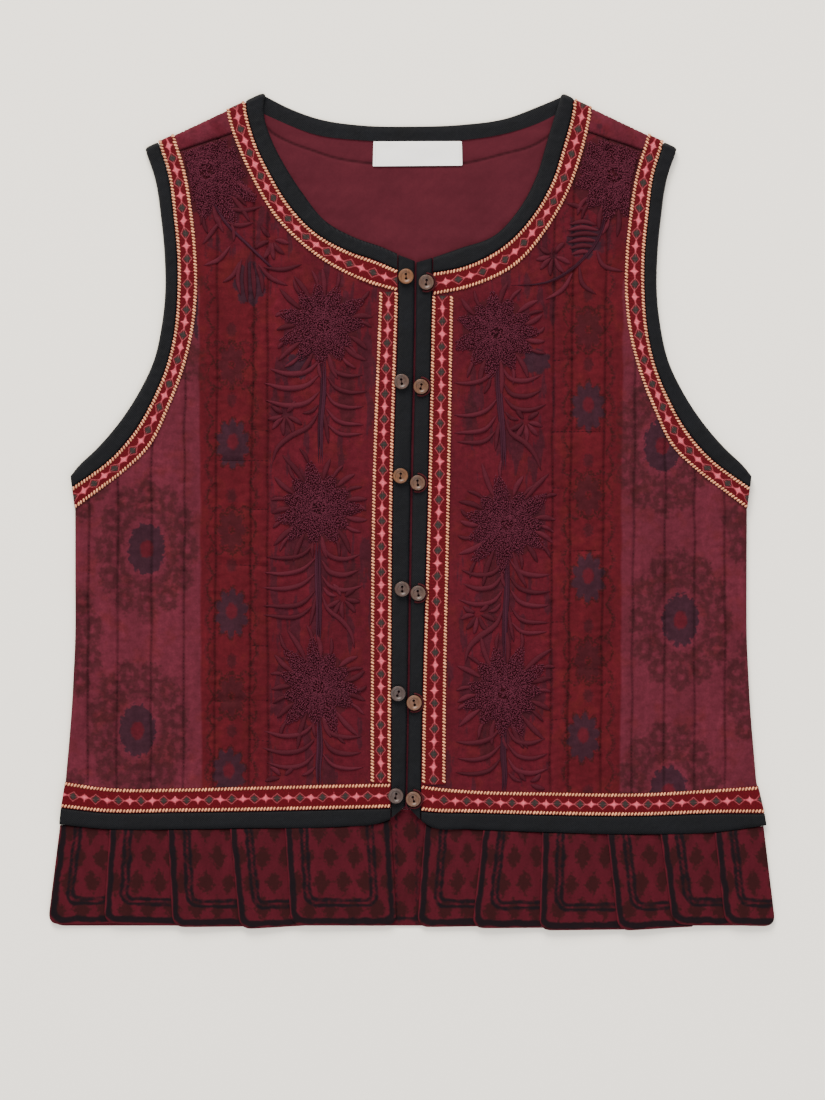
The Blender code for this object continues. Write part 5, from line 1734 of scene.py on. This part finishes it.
def back_ruffle():
    top = [row.border - Vector((0.0, SEAM_GAP)) for row in hem_line(1)]
    right = TAB_RUNS[0][0]
    left = TAB_RUNS[1][-1]
    foot_right = Vector((right.foot + RUFFLE_SIDE_INSET, RUFFLE_HEM))
    foot_left = Vector((left.foot - RUFFLE_SIDE_INSET, RUFFLE_HEM))
    outline = top[1:-1][::-1]
    outline.append(Vector((HEM_EDGE[0].x + RUFFLE_SIDE_INSET, HEM_EDGE[0].y - 1.0)))
    outline += rounded_corner(foot_right, outline[-1], foot_left, TAB_CORNER)
    last_side = Vector((HEM_EDGE[-1].x - RUFFLE_SIDE_INSET, HEM_EDGE[-1].y - 1.0))
    outline += rounded_corner(foot_left, foot_right, last_side, TAB_CORNER)
    outline.append(last_side)
    outline = closed_outline(outline, 2.5)
    flat, triangles = flat_mesh(outline, honeycomb(outline, 3.2, 1.6))
    x, y = flat[:, 0], flat[:, 1]
    ramp_top = min(point.y for point in HEM_EDGE) - ALLOWANCE_BELOW_BINDING
    drop = np.clip((ramp_top - y) / ALLOWANCE_RAMP, 0, 1)
    rim = distance_to(flat, outline, closed=True)
    roll = np.clip(1 - rim / 1.6, 0, 1) ** 2
    low = ALLOWANCE_LOW * (1 - drop) + 0.2 * roll
    high = ALLOWANCE_HIGH + (RUFFLE_WALL - ALLOWANCE_HIGH) * drop - 0.4 * roll
    high += 0.1 * waves(x, y, 22.0, 401) * ramp(rim, 0.5, 4.0) * drop
    points, faces = shell(flat, triangles, low, high)
    shade = peplum_fields(x + 9.5, y - RUFFLE_HEM, None, x, y, 95)
    shade["line"] = np.minimum(np.abs(np.abs(x + 3.0) - 7.4) - 0.8, np.abs(y - RUFFLE_HEM - 5.0) - 1.4)
    shade["piping"] = rim - 1.0
    fields = {name: np.r_[values, values] for name, values in shade.items()}
    made = mesh_piece(
        "back_ruffle_cloth", points, faces, IKAT, fields, ["back_ruffle"], angle=50,
    )
    area = float(sum(face.area for face in made.data.polygons[:len(triangles)]))
    sewn(made, tuple((outline.max(0) - outline.min(0)) * MM), ["floor"], area)


back_ruffle()
for side, run in zip((RIGHT, LEFT), TAB_RUNS):
    for i in range(len(run) - 1):
        tab(side, i + 1, run[i], run[i + 1], first=i == 0, last=i == len(run) - 2)

# %% [markdown]
# Embroidery
#
# Both fronts carry the same rows: a chrysanthemum head, a stem with curved ribs on both sides,
# a long leaf, a palm sprig, and the next head. A leaf is satin stitch over padding, so it is a
# smooth half round, wide in the middle and pointed at both ends. A head is thousands of little
# knots, set in rows along its petals. The tone is close to the ground: the light shows it.

# %% Leaves and ribs
LEAF_STATIONS = 13
LEAF_ARCH = [
    (-1.0, -0.45), (-0.92, 0.3), (-0.68, 0.74), (-0.3, 0.96),
    (0.1, 1.0), (0.5, 0.88), (0.85, 0.5), (1.0, -0.45),
]
# How far a leaf stays from a braid
LEAF_MARGIN = 0.8


def leaf_points(path, width, height):
    """Points of one padded leaf, as x, y and lift above the cloth."""
    line = np.array([tuple(p) for p in smooth_line([tuple(p) for p in path], 6)])
    run = line_run(line)
    centre = at_marks(line, run, np.linspace(0, run[-1], LEAF_STATIONS))
    along = np.gradient(centre, axis=0)
    along /= np.linalg.norm(along, axis=1)[:, None]
    across = np.stack([-along[:, 1], along[:, 0]], axis=1)
    share = np.linspace(0, 1, LEAF_STATIONS)
    swell = np.maximum(np.sin(math.pi * share) ** 0.62, 0.08)
    points = []
    for over, up in LEAF_ARCH:
        flat = centre + across * (over * width / 2 * swell)[:, None]
        lift = height * up * np.maximum(np.sin(math.pi * share) ** 0.4, 0.12)
        points.append(np.column_stack([flat, lift]))
    return np.stack(points, axis=1).reshape(-1, 3)


def worked_leaves(name, side, leaves, material, draw):
    points, faces, shades = [], [], []
    for path, width, height in leaves:
        faces += capped_tube(len(LEAF_ARCH), LEAF_STATIONS, sum(len(p) for p in points))
        points.append(leaf_points(path, width, height))
        shades.append(np.full(len(points[-1]), draw.uniform(0, 1)))
    points = np.vstack(points)
    points[:, 2] += front_height(side, points[:, :2])[0]
    shade = np.concatenate(shades)
    return mesh_piece(name, points, faces, material, {"shade": shade}, angle=80)


HEAD_RADIUS = 31.0
# How far ribs reach to the left and to the right of a stem, as the photo shows it
REACHES = {RIGHT: (40.0, 31.0), LEFT: (34.0, 31.0)}


def beside_stem(start, end, mirrored, out, down):
    """A point out from the line between two heads and down along it, in millimetres."""
    axis = (end - start) / np.linalg.norm(end - start)
    across = np.array([axis[1], -axis[0]]) * (-1 if mirrored else 1)
    return tuple(start + axis * down + across * out)


def stem_leaves(start, end, mirrored, first, ribs, reaches, draw):
    """Ribs, long leaf and sprig down the line between two heads, from a distance below the first."""
    leaves = []

    def leaf(points, width, height=1.4):
        shaken = [(out + draw.uniform(-0.7, 0.7), down) for out, down in points]
        spots = [beside_stem(start, end, mirrored, *spot) for spot in shaken]
        leaves.append((spots, width * draw.uniform(0.9, 1.12), height))

    for k in range(ribs):
        y = first + 11.0 * k + draw.uniform(-1.2, 1.2)
        reach = reaches[0] + draw.uniform(-2.5, 1.5)
        leaf([(2.0, y - 3.0), (0.27 * reach, y + 5.5), (0.62 * reach, y + 8.0), (reach, y + 4.5)], 3.9)
        y += 2.0 + draw.uniform(-1.5, 1.5)
        reach = reaches[1] + draw.uniform(-2.5, 1.5)
        leaf([(-2.5, y - 5.0), (-0.3 * reach, y + 3.5), (-0.65 * reach, y + 6.5), (-reach, y + 5.5)], 3.6)
    low = first + 11.0 * ribs
    wide = reaches[0] - 5.0
    leaf([(1.5, low), (0.25 * wide, low + 12.0), (0.6 * wide, low + 19.0), (0.9 * wide, low + 29.0),
          (wide, low + 40.0)], 4.2)
    leaf([(-1.5, low + 1.0), (-4.5, low + 12.0), (-6.0, low + 24.0)], 3.2)
    leaf([(-3.0, low - 2.0), (-11.0, low + 7.0), (-reaches[1], low + 9.5)], 3.6)
    leaf([(-4.0, low + 9.0), (-12.0, low + 16.0), (0.5 - reaches[1], low + 16.0)], 3.4)
    leaf([(3.0, low - 4.0), (8.0, low + 1.0), (13.0, low + 2.5)], 3.2, 1.1)
    centre = np.array(beside_stem(start, end, mirrored, wide - 9.0, low + 4.0))
    leaves += sprig(centre, 1 if mirrored else -1, draw)
    length = float(np.linalg.norm(end - start))
    foot = min(low + 38.0, length - HEAD_RADIUS + 8.0)
    stem = [(0.0, first - 6.0), (-0.8, first + 18.0), (0.3, (first + foot) / 2 + 8.0), (-0.4, foot)]
    return leaves, [beside_stem(start, end, mirrored, *spot) for spot in stem]


def inside_work(side, leaves):
    """Leaves that stay clear of the braid and inside the embroidered ground."""
    kept = []
    outline = front_outline(side)
    trims = trimmed_lines(side)
    for path, width, height in leaves:
        spots = np.array([tuple(p) for p in path])
        clear = all(distance_to(spots, border).min() > wide + LEAF_MARGIN for border, wide in trims)
        if clear and inside(spots, outline).all():
            kept.append((path, width, height))
    return kept


print("faces of one leaf:", len(capped_tube(len(LEAF_ARCH), LEAF_STATIONS)))

# %% Flower heads
PETALS = 11
KNOT_GAP = 1.12
# The least and the greatest length and thickness of a knot
KNOT_LENGTH = (1.3, 1.6)
KNOT_THICK = (1.0, 1.25)
# How far a knot stays from a braid and from the shoulder seam
KNOT_MARGIN = 1.5


def flower_head(head, draw, size=1.0):
    """Leaves of one head, and the place, direction and lift of each of its knots."""
    x, y = from_photo(*head)
    leaves, knots = [], []
    start = 5.0 * size
    for k in range(PETALS):
        angle = 2 * math.pi * (k + draw.uniform(-0.15, 0.15)) / PETALS
        turn = np.array([[math.cos(angle), -math.sin(angle)], [math.sin(angle), math.cos(angle)]])
        reach = HEAD_RADIUS * size * draw.uniform(0.78, 1.2)
        for radius in np.arange(start, reach, KNOT_GAP):
            share = (radius - start) / (reach - start)
            half = 5.7 * size * math.sin(math.pi * (0.2 + 0.78 * share)) ** 0.8
            for across in np.linspace(-half, half, max(2, int(round(2 * half / KNOT_GAP)))):
                spot = turn @ (radius + draw.uniform(-0.5, 0.5), across + draw.uniform(-0.4, 0.4))
                lift = 0.9 * math.sqrt(max(0.0, 1 - (across / half) ** 2))
                knots.append((x + spot[0], y + spot[1], angle + draw.uniform(-1.2, 1.2), lift))
        bend = draw.choice([-1, 1]) * draw.uniform(2.0, 5.0)
        rays = ((0.0, reach - 3.0, reach + 10.0, 3.0), (0.5, 20.0 * size, reach + 11.0, 4.2))
        for out, near, far, width in rays:
            lean = angle + 2 * math.pi * (out + draw.uniform(-0.08, 0.08)) / PETALS
            far = min(far, 34.0 / max(0.3, abs(math.cos(lean))))
            along = np.array([math.cos(lean), math.sin(lean)])
            side_step = np.array([-along[1], along[0]]) * bend
            path = [along * near, along * (near + far) / 2 + side_step * 0.25, along * far + side_step]
            leaves.append(([tuple(spot + (x, y)) for spot in path], width, 1.3))
    for _ in range(int(110 * size)):
        angle, radius = draw.uniform(0, 2 * math.pi), start * 1.3 * math.sqrt(draw.uniform(0, 1))
        knots.append((x + radius * math.cos(angle), y + radius * math.sin(angle), angle, 0.7))
    return leaves, knots


# Leaves and stem below each shoulder head, as paths in pixels of the photo
SHOULDER_LEAVES = {
    RIGHT: [
        [(224, 208), (243, 211), (262, 207)], [(225, 222), (240, 226), (254, 223)],
        [(213, 196), (204, 210), (201, 226)], [(221, 221), (212, 233), (203, 245)],
        [(231, 246), (219, 260), (204, 266)], [(240, 262), (233, 276), (223, 283)],
        [(264, 268), (282, 270), (302, 265)], [(258, 264), (272, 279), (288, 286)],
        [(242, 259), (238, 278), (241, 296)], [(247, 259), (246, 280), (248, 303)],
        [(252, 262), (254, 280), (255, 300)], [(256, 266), (262, 280), (263, 294)],
        [(229, 180), (243, 187), (256, 199)], [(228, 188), (238, 196), (247, 207)],
    ],
    LEFT: [
        [(569, 225), (583, 222), (597, 226)], [(567, 231), (583, 228), (599, 231)],
        [(567, 237), (583, 234), (600, 236)], [(567, 243), (583, 240), (598, 242)],
        [(569, 249), (583, 246), (595, 248)], [(571, 255), (582, 252), (591, 253)],
        [(609, 211), (614, 224), (628, 231)], [(604, 233), (612, 246), (627, 251)],
        [(596, 250), (602, 265), (623, 272)], [(579, 266), (582, 284), (596, 295)],
        [(573, 272), (562, 290), (545, 300)], [(588, 197), (580, 206), (577, 216)],
        [(566, 204), (575, 206), (586, 212)], [(557, 215), (567, 214), (578, 218)],
    ],
}
SHOULDER_STEMS = {
    RIGHT: [(211, 198), (225, 222), (250, 247), (276, 272)],
    LEFT: [(607, 206), (599, 236), (577, 265), (546, 283), (512, 286)],
}
SHOULDER_SPRIGS = {RIGHT: (272, 240), LEFT: (553, 256)}
# The direction in degrees and the reach in millimetres of each leaf of a sprig
SPRIG = [(-152, 14.0), (-118, 15.5), (-84, 15.0), (-50, 14.0), (-14, 13.0), (34, 12.0), (128, 12.5)]


def sprig(centre, facing, draw):
    """A fan of short fat leaves, facing right (1) or left (-1)."""
    leaves = []
    for step, reach in SPRIG:
        angle = math.radians(step + draw.uniform(-6, 6))
        along = np.array([facing * math.cos(angle), math.sin(angle)])
        bend = np.array([-along[1], along[0]]) * draw.uniform(-1.2, 1.2)
        path = [centre + along * 2.2, centre + along * (2.2 + reach) / 2 + bend, centre + along * reach]
        leaves.append(([tuple(spot) for spot in path], 4.0, 1.3))
    return leaves


def embroider(side):
    draw = np.random.default_rng(500 + side)
    leaves, stems, knots = [], [], []
    heads = HEADS[side]
    for n, head in enumerate(heads):
        more, spots = flower_head(head, draw, 1.2 if n == 0 else 1.0)
        leaves += more
        knots += spots
        start = from_photo(*head)
        if n == 0:
            for path in SHOULDER_LEAVES[side]:
                leaves.append(([tuple(from_photo(*spot)) for spot in path], 3.6, 1.3))
            leaves += sprig(np.array(from_photo(*SHOULDER_SPRIGS[side])), -side, draw)
            stem = [tuple(from_photo(*spot)) for spot in SHOULDER_STEMS[side]]
        else:
            end = from_photo(*heads[n + 1]) if n < len(heads) - 1 else start - np.array([0.0, 95.0])
            mirrored = (side == LEFT) == (n % 2 == 1)
            reaches = REACHES[side] if not mirrored else REACHES[side][::-1]
            more, stem = stem_leaves(start, end, mirrored, HEAD_RADIUS - 3.0, 3, reaches, draw)
            leaves += more
        apart, width = (0.8, 1.5) if n == 0 else (1.3, 2.1)
        for shift in (-apart, 0.0, apart):
            strand = [(px + shift + draw.uniform(-0.3, 0.3), py) for px, py in stem]
            stems.append((strand, width, 1.0 if shift else 1.25))
    name = SIDE_NAMES[side]
    pieces = [worked_leaves(f"{name}_satin_leaves", side, inside_work(side, leaves), FLOSS, draw)]
    pieces.append(worked_leaves(f"{name}_satin_stems", side, stems, STEM_FLOSS, draw))
    knots = np.array(knots)
    spots = knots[:, :2]
    clear = inside(spots, front_outline(side))
    clear &= distance_to(spots, shoulder_seam(side)) > KNOT_MARGIN
    for border, wide in trimmed_lines(side):
        clear &= distance_to(spots, border) > wide + KNOT_MARGIN
    knots = knots[clear]
    turns, count = knots[:, 2], len(knots)
    height = front_height(side, knots[:, :2])[0] + knots[:, 3]
    centres = np.column_stack([knots[:, :2], height + draw.uniform(0.0, 0.35, count)])
    along = np.column_stack([np.cos(turns), np.sin(turns), draw.uniform(-0.15, 0.15, count)])
    length = draw.uniform(*KNOT_LENGTH, count)
    thick = draw.uniform(*KNOT_THICK, count)
    beads = set_down(centres, along, length, thick, thick * 1.1, sides=5, rings=2)
    pieces.append(thread_piece(f"{name}_knots", beads, KNOT_FLOSS, draw))
    return pieces


worked = {side: embroider(side) for side in (RIGHT, LEFT)}

# %% [markdown]
# Quilting stitches
#
# The rows are held by running stitches of dark thread, three millimetres apart, each sunk in
# its dip. They follow the same lines as the relief.

# %% Running stitches
STITCH_PITCH = 3.0
# Length, width and height of a stitch
RUNNING_STITCH = (2.0, 0.5, 0.4)


def running_stitches(side):
    draw = np.random.default_rng(600 + side)
    rise = np.linspace(QUILT_HEM, 205, 200)
    lines = [np.column_stack([side * line_out(side, line, rise), rise]) for line in QUILTING[side]]
    spots, turns = [], []
    for line in lines + cross_segments(side):
        run = line_run(line)
        marks = np.arange(1.0, run[-1], STITCH_PITCH)
        at = at_marks(line, run, marks)
        ahead = at_marks(line, run, marks + 0.8)
        spots.append(at)
        turns.append(np.arctan2(*(ahead - at).T[::-1]))
    spots, turns = np.vstack(spots), np.concatenate(turns)
    clear = inside(spots, front_outline(side)) & (flat_band(side, spots) > 0.3)
    spots, turns = spots[clear], turns[clear] + draw.uniform(-0.08, 0.08, clear.sum())
    centres = np.column_stack([spots, front_height(side, spots)[0] + 0.12])
    along = np.column_stack([np.cos(turns), np.sin(turns), np.zeros(len(spots))])
    stitches = set_down(centres, along, *RUNNING_STITCH, sides=5, rings=2)
    name = f"{SIDE_NAMES[side]}_running_stitches"
    return thread_piece(name, stitches, DARK_THREAD, draw)


for side in (RIGHT, LEFT):
    worked[side].append(running_stitches(side))
    outline = front_outline(side)
    size = outline.max(0) - outline.min(0)
    area = float(sum(face.area for face in fronts[side].data.polygons)) / 2
    area = min(area, 0.98 * size[0] * size[1] * MM * MM)
    sewn(fronts[side], tuple(size * MM), ["back_cloth"], area, worked[side])

# %% [markdown]
# The label
#
# A woven label is sewn inside the neck. It is white satin, left blank, a little bowed between
# its end stitches.

# %% Label


def label_satin():
    made, tree, shader, place = new_material(
        "woven_label_satin", Roughness=0.42, Specular_IOR_Level=0.35, Sheen_Weight=0.08,
    )
    colour = tinted(tree, linear("#f1efec"), blotches(tree, place, 9.0), 0.97, 1.02)
    rows = add(tree, "TexWave", {"Vector": place, "Scale": WAVE_REPEAT / (0.6 * MM), "Distortion": 0.3},
               bands_direction="X")
    finished(tree, shader, colour, rows, 0.05, 0.5)
    return made


LABEL_CORNERS = [(-27.4, 249.4), (36.9, 249.9), (36.5, 267.4), (-27.0, 267.2)]
LABEL_THICKNESS = 0.4
LABEL_STITCH = (1.3, 0.4, 0.35)
# Width and height of its cut, in metres
LABEL_CUT = (0.0643, 0.0178)


def label():
    outline = closed_outline([Vector(p) for p in LABEL_CORNERS], 1.2)
    flat, triangles = flat_mesh(outline, honeycomb(outline, 1.6, 0.8))
    rim = distance_to(flat, outline, closed=True)
    bow = 0.25 * waves(flat[:, 0], flat[:, 1], 30.0, 5) * ramp(rim, 0.5, 5.0)
    low = BACK_WALL + SEAM_GAP + bow + 0.3
    high = low + LABEL_THICKNESS - 0.1 * np.clip(1 - rim / 0.6, 0, 1)
    points, faces = shell(flat, triangles, low, high)
    made = mesh_piece("label_cloth", points, faces, label_satin(), {}, ["label"], angle=50)
    spots = [(x, y) for x in (-25.6, 35.2) for y in np.arange(251.0, 266.5, 1.7)]
    centres = np.column_stack([spots, np.full(len(spots), BACK_WALL + SEAM_GAP + 0.8)])
    along = np.tile([0.0, 1.0, 0.0], (len(spots), 1))
    tacks = set_down(centres, along, *LABEL_STITCH, sides=5, rings=2)
    tacks = thread_piece("label_stitches", tacks, WHITE_THREAD, np.random.default_rng(9))
    sewn(made, LABEL_CUT, ["back_cloth"], None, [tacks])


label()

# %% [markdown]
# Buttons
#
# The buttons are turned from horn or coconut shell: a disc with a raised rim, a dished face and
# two holes. One is made as by hand, from a cylinder with insets, a bevel and two drilled holes,
# and the twelve are copies of it, each turned a little. Their colours run from tan to a greyed
# brown, so two numbers on the points choose the tone of each.

# %% Horn


def horn():
    made, tree, shader, place = new_material(
        "polished_horn", Roughness=0.42, Specular_IOR_Level=0.3, Coat_Weight=0.08, Coat_Roughness=0.25,
    )
    warm, light = [add(tree, "Attribute", out="Fac", attribute_name=name) for name in ("warm", "light")]
    tone = add(tree, "Mix", {"Factor": warm, "A": linear("#3a2f2d"), "B": linear("#5e3a20")},
               data_type="RGBA")
    grain = blotches(tree, place, 3.0, 5.0, (0.35, 2.4, 1.0))
    tone = tinted(tree, tone, grain, 0.62, 1.28)
    tone = tinted(tree, tone, blotches(tree, place, 0.8, 2.0), 0.55, 1.0, (0.34, 0.42))
    tone = add(tree, "HueSaturation", {"Color": tone, "Value": light})
    finished(tree, shader, tone, grain, 0.08, 0.4)
    return made


HORN = horn()

# %% Model one button
BUTTON_RADIUS = 5.45
BUTTON_THICKNESS = 3.0
BUTTON_BASE = BINDING_TOP + SEAM_GAP
RIM_WIDTH = 1.7
DISH_DEPTH = 0.8
HOLE_RADIUS = 0.95
HOLE_SPACING = 3.1
Place = namedtuple("Place", "x y turn")
BUTTON_PAIRS = [
    (Place(-3.6, 169.9, 3), Place(11.0, 165.6, -8)), (Place(-6.8, 94.3, 8), Place(7.2, 90.7, -12)),
    (Place(-7.5, 26.6, -4), Place(4.8, 21.6, 6)), (Place(-6.3, -54.7, 0), Place(5.1, -57.7, 10)),
    (Place(-9.3, -129.8, -20), Place(2.3, -136.4, 12)), (Place(-10.9, -203.3, -12), Place(1.7, -205.6, 16)),
]
# How warm and how light each button is, pair by pair
BUTTON_TONES = [
    ((0.95, 1.1), (0.35, 0.95)), ((0.25, 0.95), (0.7, 0.9)), ((0.9, 0.98), (0.5, 0.98)),
    ((0.2, 0.92), (0.25, 0.95)), ((0.05, 1.0), (0.6, 1.25)), ((0.1, 0.98), (0.5, 1.15)),
]


def select_top(height):
    """Select the faces that look up at a height, in millimetres."""
    shape = bmesh.from_edit_mesh(bpy.context.object.data)
    for face in shape.faces:
        centre = face.calc_center_median()
        face.select = face.normal.z > 0.9 and abs(centre.z - height * MM) < 0.05 * MM
    bmesh.update_edit_mesh(bpy.context.object.data)


def make_button():
    bpy.ops.object.select_all(action="DESELECT")
    bpy.ops.mesh.primitive_cylinder_add(
        vertices=40, radius=BUTTON_RADIUS * MM, depth=BUTTON_THICKNESS * MM,
        location=(0, 0, BUTTON_THICKNESS * MM / 2),
    )
    button = bpy.context.object
    bpy.ops.object.transform_apply(location=True, rotation=False, scale=False)
    bpy.ops.object.mode_set(mode="EDIT")
    bpy.ops.mesh.select_mode(type="FACE")
    select_top(BUTTON_THICKNESS)
    bpy.ops.mesh.inset(thickness=RIM_WIDTH * MM)
    bpy.ops.mesh.inset(thickness=0.7 * MM)
    bpy.ops.transform.translate(value=(0, 0, -DISH_DEPTH * MM))
    bpy.ops.object.mode_set(mode="OBJECT")
    bevel = button.modifiers.new("worn", "BEVEL")
    bevel.width = 0.6 * MM
    bevel.segments = 3
    bevel.angle_limit = math.radians(28)
    bpy.ops.object.modifier_apply(modifier="worn")
    drills = []
    for sign in (-1, 1):
        bpy.ops.mesh.primitive_cylinder_add(
            vertices=14, radius=HOLE_RADIUS * MM, depth=0.02, location=(0, sign * HOLE_SPACING * MM / 2, 0),
        )
        drills.append(bpy.context.object)
    for drill in drills:
        bpy.ops.object.select_all(action="DESELECT")
        bpy.context.view_layer.objects.active = button
        button.select_set(True)
        hole = button.modifiers.new("hole", "BOOLEAN")
        hole.operation = "DIFFERENCE"
        hole.object = drill
        bpy.ops.object.modifier_apply(modifier="hole")
    for drill in drills:
        bpy.data.objects.remove(drill, do_unlink=True)
    return button


button = make_button()
print("faces of one button:", len(button.data.polygons))

# %% Sew on the buttons


def button_thread(place):
    """The middle and the direction of two turns of thread through the two holes."""
    angle = math.radians(place.turn)
    height = BUTTON_BASE + BUTTON_THICKNESS - DISH_DEPTH + 0.1
    turns = []
    for shift in (-0.16, 0.16):
        middle = (place.x + shift * math.cos(angle), place.y + shift * math.sin(angle), height)
        turns.append((middle, (-math.sin(angle + shift * 0.3), math.cos(angle + shift * 0.3), 0.0)))
    return turns


def sew_on(side, number, place, tone):
    node = f"{SIDE_NAMES[side]}_button_{number}"
    mesh = button.data.copy()
    turn = Matrix.Rotation(math.radians(place.turn), 4, "Z")
    mesh.transform(Matrix.Translation((place.x * MM, place.y * MM, BUTTON_BASE * MM)) @ turn)
    for name, value in zip(("warm", "light"), tone):
        layer = mesh.attributes.new(name, "FLOAT", "POINT")
        layer.data.foreach_set("value", np.full(len(mesh.vertices), value, np.float32))
    mesh.materials.clear()
    mesh.materials.append(HORN)
    mesh.shade_smooth()
    mesh.set_sharp_from_angle(angle=math.radians(50))
    made = bpy.data.objects.new(f"{node}_horn", mesh)
    bpy.context.scene.collection.objects.link(made)
    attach(made, "root")
    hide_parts(node)


turns = []
for number, (pair, tones) in enumerate(zip(BUTTON_PAIRS, BUTTON_TONES), start=1):
    for side, place, tone in zip((RIGHT, LEFT), pair, tones):
        sew_on(side, number, place, tone)
        turns += button_thread(place)
bpy.data.objects.remove(button, do_unlink=True)
centres, along = np.array(turns).transpose(1, 0, 2)
points, faces, _ = set_down(centres, along, HOLE_SPACING + 0.6, 0.3, 0.3)
fields = {"shade": np.linspace(0, 1, len(points))}
mesh_piece("button_threads", points, faces, DARK_THREAD, fields, angle=80)

# %% [markdown]
# Button loops
#
# Each left button sits in a loop of rolled cotton that comes from under the right front. A loop
# is a bent cord, a little flattened, with the seam of the roll showing as a soft spiral.

# %% Loops
LOOP_RADIUS = 6.5
LOOP_CORD = 0.7
LOOP_BASE = BRAID_TOP + SEAM_GAP
LOOP_LEAN = math.radians(-12)
LOOP_SPAN = math.radians(205)


def loop_of_cord(number, place):
    points, shades = [], []
    steps, sides = 48, 10
    for step in range(steps + 1):
        angle = LOOP_LEAN + LOOP_SPAN * (step / steps - 0.5)
        for i in range(sides):
            around = 2 * math.pi * i / sides
            thick = LOOP_CORD * (1 + 0.1 * math.cos(2 * around + 18 * angle))
            radius = LOOP_RADIUS + thick * math.cos(around)
            height = LOOP_BASE + LOOP_CORD + 0.95 * thick * math.sin(around)
            points.append((place.x + radius * math.cos(angle), place.y + radius * math.sin(angle), height))
            shades.append(0.5 + 0.5 * math.sin(9 * angle + around + number))
    faces = capped_tube(sides, steps + 1)
    fields = {"shade": shades}
    node = f"button_loop_{number}"
    mesh_piece(f"{node}_cloth", points, faces, LOOP_CORD_CLOTH, fields, [node], angle=70)


for number, (_, place) in enumerate(BUTTON_PAIRS, start=1):
    loop_of_cord(number, place)

# %% [markdown]
# The floor, and what each cloth piece was cut from
#
# The floor is plain, pale and matt. Every cloth piece's cut size is then printed: the flat
# outline of a panel, and the finished width and length of a strip.

# %% Floor and cloth


def plain_floor():
    made, tree, shader, place = new_material("matt_backdrop_paper", Roughness=0.92, Specular_IOR_Level=0.2)
    finished(tree, shader, tinted(tree, linear("#fdf7ec"), blotches(tree, place, 300.0, 2.0), 0.99, 1.01))
    bpy.ops.object.select_all(action="DESELECT")
    bpy.ops.mesh.primitive_plane_add(size=6.0, location=(0, 0, -0.0001))
    floor = bpy.context.object
    floor.name = "floor"
    floor.data.materials.append(made)


plain_floor()
for made, flat, rests_on, area, with_pieces in soft_pieces:
    print(f"{made.name}: cut {flat[0]:.4f} x {flat[1]:.4f} m")
